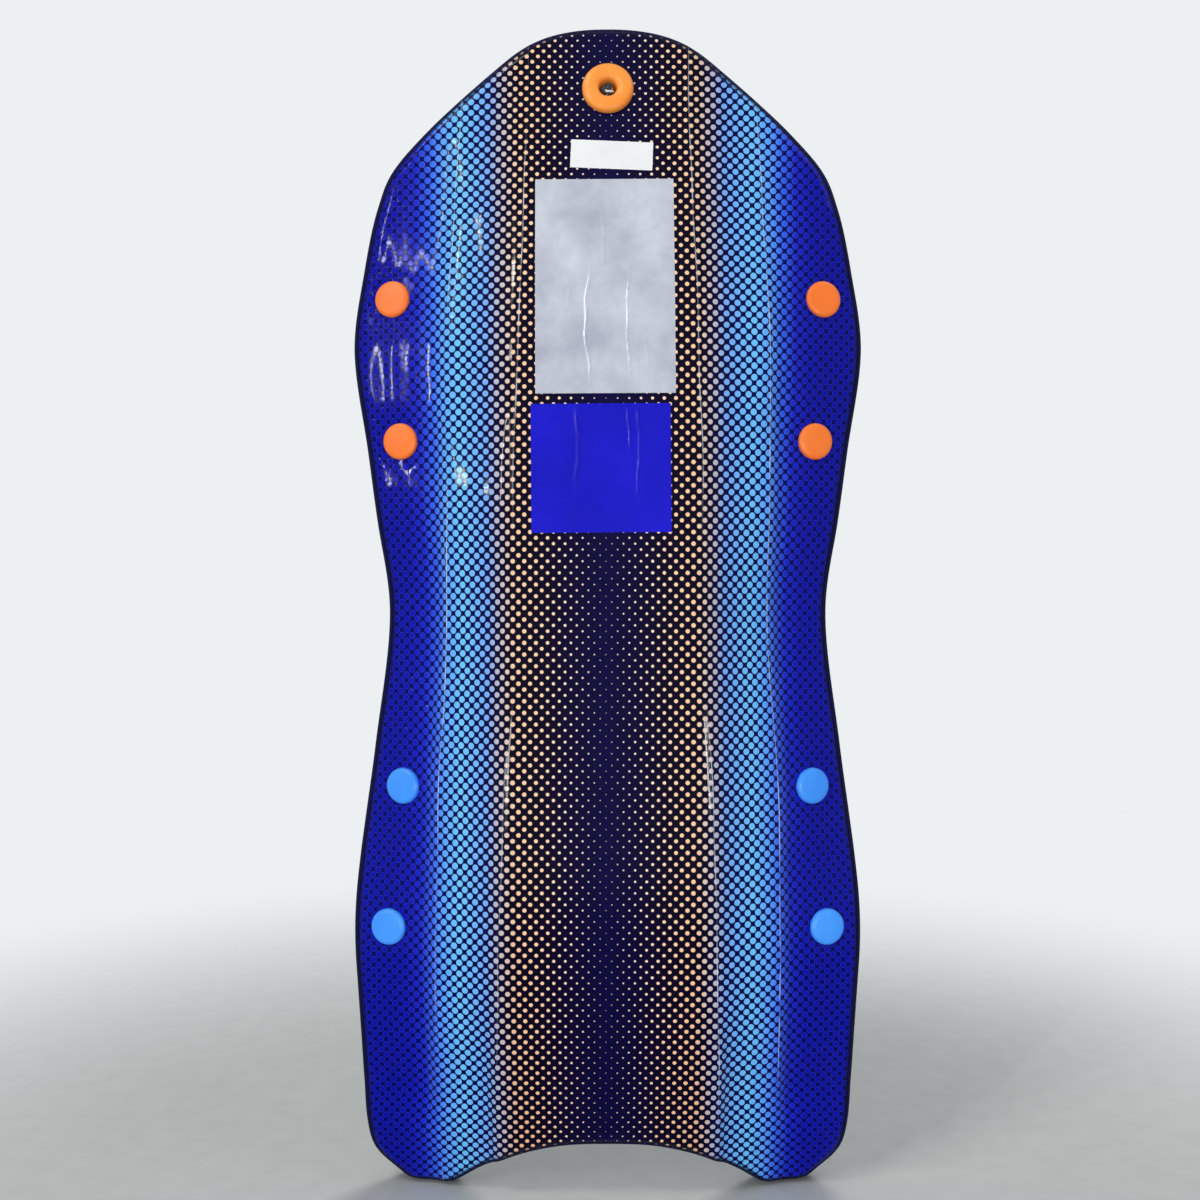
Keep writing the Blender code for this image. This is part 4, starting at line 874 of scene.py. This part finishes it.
def disc_profile(boss_length):
    """Head of a deck disc: a shallow dish inside a rounded rim, and its boss."""
    top = -DISC_HEIGHT
    return rounded([(0.0, top + 0.0010), (0.52 * DISC_RADIUS, top + 0.0010),
                    (0.62 * DISC_RADIUS, top + 0.0001), (DISC_RADIUS - 0.0030, top),
                    (DISC_RADIUS, 0.45 * top), (DISC_RADIUS, 0.0), (BOSS_RADIUS, 0.0),
                    (BOSS_RADIUS, boss_length), (0.0, boss_length)],
                   {1: 0.0008, 2: 0.0008, 3: 0.0020, 4: 0.0012, 5: 0.0003})


def flange_profile():
    """The grommet's fat round ring, its mouth, its cup and its tube."""
    back = GROMMET_SEAT - GAP
    crown, half = 0.5 * (GROMMET_RADIUS + GROMMET_MOUTH), 0.5 * (GROMMET_RADIUS - GROMMET_MOUTH)
    ring = [(crown + half * math.cos(turn), -GROMMET_PROUD * max(math.sin(turn), 0.0) ** 0.8)
            for turn in np.linspace(0.0, math.pi, 25)]
    return [(GROMMET_RADIUS, back), *ring, (GROMMET_MOUTH, 0.5 * GROMMET_CUP),
            (GROMMET_MOUTH, GROMMET_CUP), (ROPE_HOLE, GROMMET_CUP),
            (ROPE_HOLE, GROMMET_TUBE_LENGTH), (GROMMET_TUBE, GROMMET_TUBE_LENGTH),
            (GROMMET_TUBE, back)]


def cap_profile():
    """The grommet's cap on the deck side: a low ring on a short tube."""
    back = CAP_SEAT - GAP
    top = back - CAP_HEIGHT
    return rounded([(CAP_RADIUS, back), (CAP_RADIUS, back - 0.0018),
                    (CAP_RADIUS - 0.0022, top + 0.0008), (CAP_RADIUS - 0.0060, top),
                    (ROPE_HOLE + 0.0025, top), (ROPE_HOLE, top + 0.0018), (ROPE_HOLE, CAP_TUBE),
                    (GROMMET_TUBE, CAP_TUBE), (GROMMET_TUBE, back)],
                   {1: 0.0008, 2: 0.0012, 3: 0.0015, 4: 0.0010, 5: 0.0008})


# Grab handles

class Handle:
    """One grab handle: its two seats and the strap's line from seat to seat."""

    def __init__(self, outline, side, heights):
        self.seats = [seat_on_film(side * (outline.half_width(z) - PLUG_INSET), z) for z in heights]
        self.depths = [deck_distance(*seat) for seat in self.seats]
        self.tabs = [point + axis * (depth - DISC_SEAT + GAP + 0.5 * STRAP_THICKNESS)
                     for (point, axis), depth in zip(self.seats, self.depths)]
        self.span = (self.tabs[1] - self.tabs[0]).length
        self.grip_start = 0.5 * (self.span - GRIP_LENGTH)

    def rise(self, run):
        """How far the strap stands off the line between its tabs."""
        nearest = min(run, self.span - run)
        share = min(max((nearest - STRAP_FLAT) / STRAP_RISE_LENGTH, 0.0), 1.0)
        return STRAP_RISE * math.sin(0.5 * math.pi * share) ** STRAP_RISE_POWER

    def frame(self, run, near=0.0012):
        """Centre of the strap, the direction of its width and the way its outer face looks."""
        along = (self.tabs[1] - self.tabs[0]).normalized()

        def centre(distance):
            share = min(max(distance / self.span, 0.0), 1.0)
            up = self.seats[0][1].lerp(self.seats[1][1], share).normalized()
            return self.tabs[0] + along * distance + up * self.rise(distance), up

        here, up = centre(run)
        direction = (centre(run + near)[0] - centre(run - near)[0]).normalized()
        if self.rise(run + near) == 0.0 and self.rise(run - near) == 0.0:
            end = 0 if run < 0.5 * self.span else 1
            up = self.seats[end][1]
            direction = (along - up * along.dot(up)).normalized()
            here = self.tabs[end] + direction * (run - end * self.span)
        across = direction.cross(up).normalized()
        return here, across, across.cross(direction).normalized()

    def loft(self, name, runs, sections):
        """A closed solid along the strap's line, from one loop of (across, out) points per run."""
        vertices, flat = [], []
        for run, section in zip(runs, sections):
            here, across, out = self.frame(run)
            vertices += [to_frame(here + across * a + out * b) for a, b in section]
            flat += [(reach, run) for reach in running_length(np.array(section))]
        mesh = mesh_of(name, vertices, tube_faces(len(vertices), len(sections[0])), 50.0)
        paint_uv(mesh, "cloth", flat)
        return mesh

    def strap(self):
        """The webbing band, with its edges rounded."""
        half, thick = 0.5 * STRAP_WIDTH, 0.5 * STRAP_THICKNESS
        flats = np.linspace(thick - half, half - thick, 9)
        turns = np.radians(np.linspace(-60.0, 60.0, 5))
        bow = [(half - thick + thick * math.cos(t), thick * math.sin(t)) for t in turns]
        section = [*((a, -thick) for a in flats), *bow, *((a, thick) for a in flats[::-1]),
                   *((-a, -b) for a, b in bow)]
        runs = np.linspace(-STRAP_TAB, self.span + STRAP_TAB, 121)
        return self.loft("strap", runs, [section] * len(runs))

    def grip(self):
        """A padded sleeve: round at its ends, seamed at both sides and waved under the fingers."""
        turns = np.linspace(0.0, 2.0 * math.pi, 48, endpoint=False)
        ways = np.column_stack((np.cos(turns), np.sin(turns)))
        loop = 0.5 * np.copysign(np.abs(ways) ** GRIP_ROUNDNESS, ways) * (GRIP_WIDTH, GRIP_DEPTH)
        seam = SEAM_DEPTH * np.exp(-((ways[:, 0] ** 2 - 1.0) / SEAM_WIDTH) ** 2)
        fingers = FINGER_WAVE * ease(-ways[:, 1])
        distances = GRIP_LENGTH * (0.5 - 0.5 * np.cos(np.linspace(0.0, math.pi, 97)))
        sections = []
        for distance in distances:
            from_end = min(distance, GRIP_LENGTH - distance)
            bulge = max(1.0 - (1.0 - min(from_end / GRIP_END_LENGTH, 1.0)) ** 2, 0.0)
            full = GRIP_END_SHARE + (1.0 - GRIP_END_SHARE) * math.sqrt(bulge)
            wave = fingers * math.cos(2.0 * math.pi * distance / FINGER_PITCH)
            sections.append(loop * (full * (1.0 + wave - seam))[:, None])
        return self.loft("grip", self.grip_start + distances, sections)

    def stitch_lines(self):
        """Bar tacks across the strap at both ends of the grip, and a seam along each grip side."""

        def on_strap(run, a, b):
            here, across, out = self.frame(run)
            return here + across * a + out * b

        lines = [[on_strap(place, a, 0.5 * STRAP_THICKNESS + TACK_PROUD)
                  for a in (-TACK_HALF, TACK_HALF)]
                 for run in TACKS for place in (run, self.span - run)]
        runs = self.grip_start + np.linspace(SEAM_END, GRIP_LENGTH - SEAM_END, 40)
        return lines + [[on_strap(run, side * SEAM_ACROSS, SEAM_OUT) for run in runs]
                        for side in (-1.0, 1.0)]


def stitch_tree(thread):
    """Geometry nodes: short stitches laid end to end along every line of the mesh."""
    tree = bpy.data.node_groups.new("stitches", "GeometryNodeTree")
    face = tree.interface
    face.new_socket("Geometry", in_out="INPUT", socket_type="NodeSocketGeometry")
    for name, value in (("Stitch spacing", 0.0030), ("Stitch length", 0.0024),
                        ("Thread radius", 0.00042)):
        socket = face.new_socket(name, in_out="INPUT", socket_type="NodeSocketFloat")
        socket.default_value = value
    face.new_socket("Geometry", in_out="OUTPUT", socket_type="NodeSocketGeometry")
    given, result, half, size = map(tree.nodes.new, (
        "NodeGroupInput", "NodeGroupOutput", "ShaderNodeMath", "ShaderNodeCombineXYZ"))
    lines, points, ball, each, soft, real, paint = (
        tree.nodes.new("GeometryNode" + kind) for kind in (
            "MeshToCurve", "CurveToPoints", "MeshUVSphere", "InstanceOnPoints", "SetShadeSmooth",
            "RealizeInstances", "SetMaterial"))
    points.mode, half.operation = "LENGTH", "MULTIPLY"
    half.inputs[1].default_value = 0.5
    ball.inputs["Segments"].default_value, ball.inputs["Rings"].default_value = 8, 6
    paint.inputs["Material"].default_value = thread
    for source, output, target, entry in (
            (given, "Geometry", lines, "Mesh"), (lines, "Curve", points, "Curve"),
            (given, "Stitch spacing", points, "Length"), (given, "Stitch length", half, 0),
            (given, "Thread radius", size, "X"), (given, "Thread radius", size, "Y"),
            (half, 0, size, "Z"), (points, "Points", each, "Points"),
            (ball, "Mesh", each, "Instance"), (points, "Rotation", each, "Rotation"),
            (size, 0, each, "Scale"), (each, 0, soft, 0), (soft, 0, real, 0), (real, 0, paint, 0),
            (paint, 0, result, 0)):
        tree.links.new(source.outputs[output], target.inputs[entry])
    return tree


def sew(name, lines, thread):
    """One plain mesh of all the stitches along some lines."""
    vertices, edges = [], []
    for line in lines:
        edges += [(len(vertices) + i, len(vertices) + i + 1) for i in range(len(line) - 1)]
        vertices += [to_frame(p) for p in line]
    mesh = bpy.data.meshes.new(f"{name}_lines")
    mesh.from_pydata(vertices, edges, [])
    guide = add_object(f"{name}_lines", mesh)
    guide.modifiers.new("stitches", "NODES").node_group = stitch_tree(thread)
    bpy.context.view_layer.update()
    ready = guide.evaluated_get(bpy.context.evaluated_depsgraph_get())
    sewn = bpy.data.meshes.new_from_object(ready)
    sewn.name = name
    bpy.data.objects.remove(guide)
    return sewn


# Rope

def braid(name, path, radius, segments=40, step=0.0011, lay=0.0085, carriers=6):
    """A braided tube along a path, with its relief in the mesh and its tracer strands marked."""
    reach = running_length(path)
    stops = np.linspace(0.0, reach[-1], round(reach[-1] / step) + 1)
    line = np.column_stack([np.interp(stops, reach, values) for values in path.T])
    ahead = np.gradient(line, axis=0)
    ahead /= np.linalg.norm(ahead, axis=1)[:, None]
    side = np.cross(ahead[0], (0.0, 1.0, 0.3))
    turns = np.linspace(0.0, 2.0 * math.pi, segments, endpoint=False)
    round_it = carriers * turns / (2.0 * math.pi)
    vertices, tracer = [], []
    for here, direction, stop in zip(line, ahead, stops):
        side = side - direction * side.dot(direction)
        side /= np.linalg.norm(side)
        other = np.cross(direction, side)
        first, second = round_it + stop / lay, round_it - stop / lay
        on_top = (np.floor(first) + np.floor(second)) % 2 == 0
        swell = np.abs(np.sin(math.pi * np.where(on_top, first, second))) ** 0.7
        radii = radius * (0.86 + 0.14 * swell)
        around = np.outer(np.cos(turns), side) + np.outer(np.sin(turns), other)
        vertices += list(here + radii[:, None] * around)
        tracer += list(np.where(on_top, np.floor(first) % carriers == 1,
                                np.floor(second) % carriers == 4))
    mesh = mesh_of(name, vertices, tube_faces(len(vertices), segments), 80.0)
    mark(mesh, "tracer", tracer)
    return mesh, line


def knot_path(middle, ways, sizes, start, count):
    """The path of a pulled-tight overhand knot, with its three half sizes along three ways."""
    t = np.linspace(start, start + 2.0 * math.pi, count)
    shares = ((np.sin(t) + 2.0 * np.sin(2.0 * t)) / 3.0, (np.cos(t) - 2.0 * np.cos(2.0 * t)) / 3.0,
              np.sin(3.0 * t))
    return np.array(to_frame(middle)) + sum(
        np.outer(size * share, way) for size, share, way in zip(sizes, shares, ways))


# Stickers

def sticker(name, centre, size, angle, folds):
    """A thin blank sticker that follows the film, with raised folds along it."""
    width, height = size
    counts = [round(length / STICKER_GRAIN) + 1 for length in size]
    a, b = np.meshgrid(*[np.linspace(-0.5 * s, 0.5 * s, n) for s, n in zip(size, counts)],
                       indexing="ij")
    turn = math.radians(angle)
    x = centre[0] + a * math.cos(turn) - b * math.sin(turn)
    z = centre[1] + a * math.sin(turn) + b * math.cos(turn)
    raised = np.full(x.shape, STICKER_LIFT)
    b = b / height
    for at, start, end, sway, tall, wide in folds:
        bend = at * width + sway * (np.sin(9.0 * b) + 0.3 * np.sin(31.0 * b))
        window = ease((b - start) / 0.12) * ease((end - b) / 0.12)
        raised = raised + tall * window * np.exp(-((a - bend) / wide) ** 2)
    base = PAD_PLANE + rounded_depth(x, z)
    vertices = np.concatenate([np.stack((x, base - rise, z), axis=-1).reshape(-1, 3)
                               for rise in (raised, -STICKER_SINK)])
    quads, edge = grid_quads(*counts), border(np.arange(x.size).reshape(counts))
    faces = [*quads.tolist(), *(quads[:, ::-1] + x.size).tolist(), *bands([edge, edge + x.size])]
    return mesh_of(name, vertices, faces, 60.0)


# Making

def make_ropes(finish):
    """The tow rope, its two knots and its hand loop."""
    point, axis, depth = grommet_seat()
    across, back, up = Vector((1.0, 0.0, 0.0)), Vector((0.0, 1.0, 0.0)), Vector((0.0, 0.0, 1.0))
    knots = []
    for node, middle, ways, sizes, start, count, radius in (
            ("rope_stopper_knot", point + axis * (GROMMET_CUP - GAP - STOPPER_HALF),
             (across, axis.cross(across), axis), STOPPER_SIZES, 0.35, 160, STOPPER_CORD),
            ("hand_loop_knot", Vector((0.0, ROPE_DEPTH, HAND_KNOT_HEIGHT)),
             (across, up, back), HAND_KNOT_SIZES, 0.5, 200, HAND_KNOT_CORD)):
        path = knot_path(middle, ways, sizes, start, count)
        mesh, _ = braid(node, path, radius, segments=32, step=0.0007, lay=0.0065)
        knots.append(fit(f"braided_{node}", mesh, finish, "rope", node))

    knot_top = HAND_KNOT_HEIGHT + HAND_KNOT_HALF + GAP
    knot_bottom = HAND_KNOT_HEIGHT - HAND_KNOT_HALF - GAP
    turned_down = GROMMET_HEIGHT - ROPE_TURN[-1][1]
    hang = [tuple(point + axis * reach) for reach in (GROMMET_CUP, depth + 0.5 * CAP_HEIGHT)]
    hang += [(0.0, d, GROMMET_HEIGHT - drop) for d, drop in ROPE_TURN]
    hang += [(0.0, d, turned_down + share * (knot_top - turned_down)) for d, share in ROPE_FALL]
    hang.append((0.0, ROPE_DEPTH, knot_top - INTO_KNOT))
    half = [(HALF_LOOP[0][0], knot_bottom + INTO_KNOT)]
    half += [(x, HAND_KNOT_HEIGHT - drop) for x, drop in HALF_LOOP]
    loop = [*half, (0.0, HAND_KNOT_HEIGHT - LOOP_DROP), *((-x, z) for x, z in half[::-1])]
    loop = [(x, ROPE_DEPTH, z) for x, z in loop]
    for node, points, pieces in (("tow_rope", hang, knots), ("hand_loop", loop, [])):
        path = smooth_curve(points, 12)
        path[:, 1] += PAD_PLANE
        mesh, line = braid(node, path, ROPE_RADIUS)
        cord = fit(f"braided_{node}", mesh, finish, "rope", node)


def make_hull(outline, handles, finishes):
    """Film, core and deck sheet, pressed in and pierced for the plugs, discs and grommet."""
    fittings = [(*grommet_seat(), GROMMET_PRESS, CAP_PRESS, *GROMMET_HOLES)]
    fittings += [(*seat, depth, PLUG_PRESS, DISC_PRESS, *PLUG_HOLES) for handle in handles
                 for seat, depth in zip(handle.seats, handle.depths)]
    front, back, film_holes, deck_holes = [], [], [], []
    for point, axis, depth, front_press, back_press, film_hole, deck_hole in fittings:
        deck_point = point + axis * depth
        front.append((point.x, point.z, *front_press))
        back.append((deck_point.x, deck_point.z, *back_press))
        film_holes.append((point.x, point.z, film_hole))
        deck_holes.append((deck_point.x, deck_point.z, deck_hole))
    hull = Hull(outline, front, back)
    under_deck = SLAB - DECK_SHEET
    for name, low, rings, high, holes, finish, slot, node in (
            ("slick_film", 0.0, film_rings(), FILM, film_holes, "film", "slick_film",
             "slick_bottom"),
            ("foam_slab", FILM + GAP, core_rings(), under_deck - GAP, film_holes[:1], "core",
             "navy_foam", "foam_core"),
            ("deck_foam_sheet", under_deck, deck_rings(), SLAB, deck_holes, "deck", "deck_foam",
             "deck_sheet")):
        fit(name, hull.layer(name, low, rings, high, holes), finishes[finish], slot, node)


def make_fittings(handles, finishes):
    """Handles with their plugs and discs, and the grommet."""
    lines = []
    for handle, (end, side) in handles.items():
        name, colour = f"{end}_{side}", "orange" if end == "front" else "blue"
        finish, slot = finishes[colour], f"{colour}_plastic"
        for place, (point, axis), depth in zip(("tailward", "noseward"), handle.seats,
                                               handle.depths):
            point, press_face = to_frame(point), depth - DISC_SEAT + 2 * GAP + STRAP_THICKNESS
            plug = turned("plug", plug_profile(press_face - 2 * GAP), (point, axis))
            disc = turned("disc", disc_profile(press_face - PLUG_SEAT - 2 * GAP),
                          (point + axis * press_face, -axis))
            fit(f"plug_{name}_{place}", plug, finish, slot, f"bottom_plug_{name}_{place}")
            fit(f"disc_{name}_{place}", disc, finish, slot, f"deck_disc_{name}_{place}")
        fit(f"strap_{name}", handle.strap(), finishes["webbing"], "webbing",
            f"handle_strap_{name}")
        grip = fit(f"grip_{name}", handle.grip(), finishes["grip"], "grip_foam",
                   f"handle_grip_{name}")
        lines += handle.stitch_lines()
    thread = finishes["thread"]
    fit("handle_stitches", sew("handle_stitches", lines, thread), thread, "webbing")
    point, axis, depth = grommet_seat()
    deck_point = to_frame(point + axis * depth)
    flange = turned("flange", flange_profile(), (to_frame(point), axis), 96, closed=True)
    cap = turned("cap", cap_profile(), (deck_point, -axis), 96, closed=True)
    fit("grommet_ring", flange, finishes["grommet"], "orange_plastic", "grommet_flange")
    fit("grommet_back_cap", cap, finishes["grommet"], "orange_plastic", "grommet_cap")


def make_floor(reach=6.0):
    """A pale floor that fades out into the pale world."""
    mesh = bpy.data.meshes.new("floor")
    corners = [(x * reach, y * reach, 0.0) for x, y in ((-1, -1), (1, -1), (1, 1), (-1, 1))]
    mesh.from_pydata(corners, [], [(0, 1, 2, 3)])
    floor = add_object("floor", mesh)
    ground = Finish("pale_floor", Roughness=0.9, Specular_IOR_Level=0.0)
    away = ground.vector("LENGTH", ground.place((1.0, 1.0, 0.0)), out=1)
    tone = ground.mix(ground.span(ground.noise(30.0), 0.3, 0.7), (0.48, 0.50, 0.49, 1.0),
                      (0.51, 0.53, 0.52, 1.0))
    fade = ground.soft(away, 0.55, 1.7, 1.0, 0.0)
    mesh.materials.append(ground.done(Base_Color=tone, Alpha=fade))


def make_world():
    """A pale world to look at, and a softer one to light the sled."""
    world = bpy.data.worlds.new("pale_world")
    scene.world = world
    world.use_nodes = True
    nodes, link = world.node_tree.nodes, world.node_tree.links.new
    shown, light = nodes["Background"], nodes.new("ShaderNodeBackground")
    shown.inputs["Color"].default_value = (0.84, 0.87, 0.885, 1.0)
    light.inputs["Color"].default_value = (0.93, 0.97, 1.0, 1.0)
    light.inputs["Strength"].default_value = 0.32
    rays, mix = nodes.new("ShaderNodeLightPath"), nodes.new("ShaderNodeMixShader")
    seen = rays.outputs["Is Camera Ray"]
    for kind in ("Is Glossy Ray", "Is Transmission Ray"):
        larger = nodes.new("ShaderNodeMath")
        larger.operation = "MAXIMUM"
        link(seen, larger.inputs[0])
        link(rays.outputs[kind], larger.inputs[1])
        seen = larger.outputs[0]
    for index, source in enumerate((seen, light.outputs[0], shown.outputs[0])):
        link(source, mix.inputs[index])
    link(mix.outputs[0], nodes["World Output"].inputs["Surface"])


photo_camera()
sled_outline = Outline()
make_ropes(braided_cord())
sled_handles = {Handle(sled_outline, sign, heights): (end, side)
                for end, heights in (("front", FRONT_HANDLE), ("rear", REAR_HANDLE))
                for side, sign in (("left", 1.0), ("right", -1.0))}
sled_finishes = {
    "film": printed_film(),
    "core": cell_foam("navy_rail_foam", srgb(10, 12, 48), srgb(30, 34, 84), 520.0, 0.35),
    "deck": cell_foam("navy_deck_foam", srgb(14, 17, 56), srgb(40, 46, 100), 230.0, 0.75),
    "webbing": woven_webbing(),
    "grip": padded_sleeve_cloth(),
    "thread": sewing_thread(),
    "orange": satin_plastic("orange_plug_plastic", srgb(252, 128, 50), srgb(246, 116, 38)),
    "blue": satin_plastic("sky_blue_plug_plastic", srgb(66, 154, 252), srgb(54, 138, 244)),
    "grommet": satin_plastic("orange_grommet_plastic", srgb(255, 158, 66), srgb(255, 146, 52)),
}
make_hull(sled_outline, sled_handles, sled_finishes)
for label, middle, extent, angle, folds, vinyl in STICKERS:
    label_mesh = sticker(f"{label}_label", middle, extent, angle, folds)
    fit(label_mesh.name, label_mesh, bare_sticker(f"{label}_sticker", *vinyl), "slick_film")
make_fittings(sled_handles, sled_finishes)
make_floor()
make_world()
for lamp_row in LAMPS:
    studio_lamp(*lamp_row)
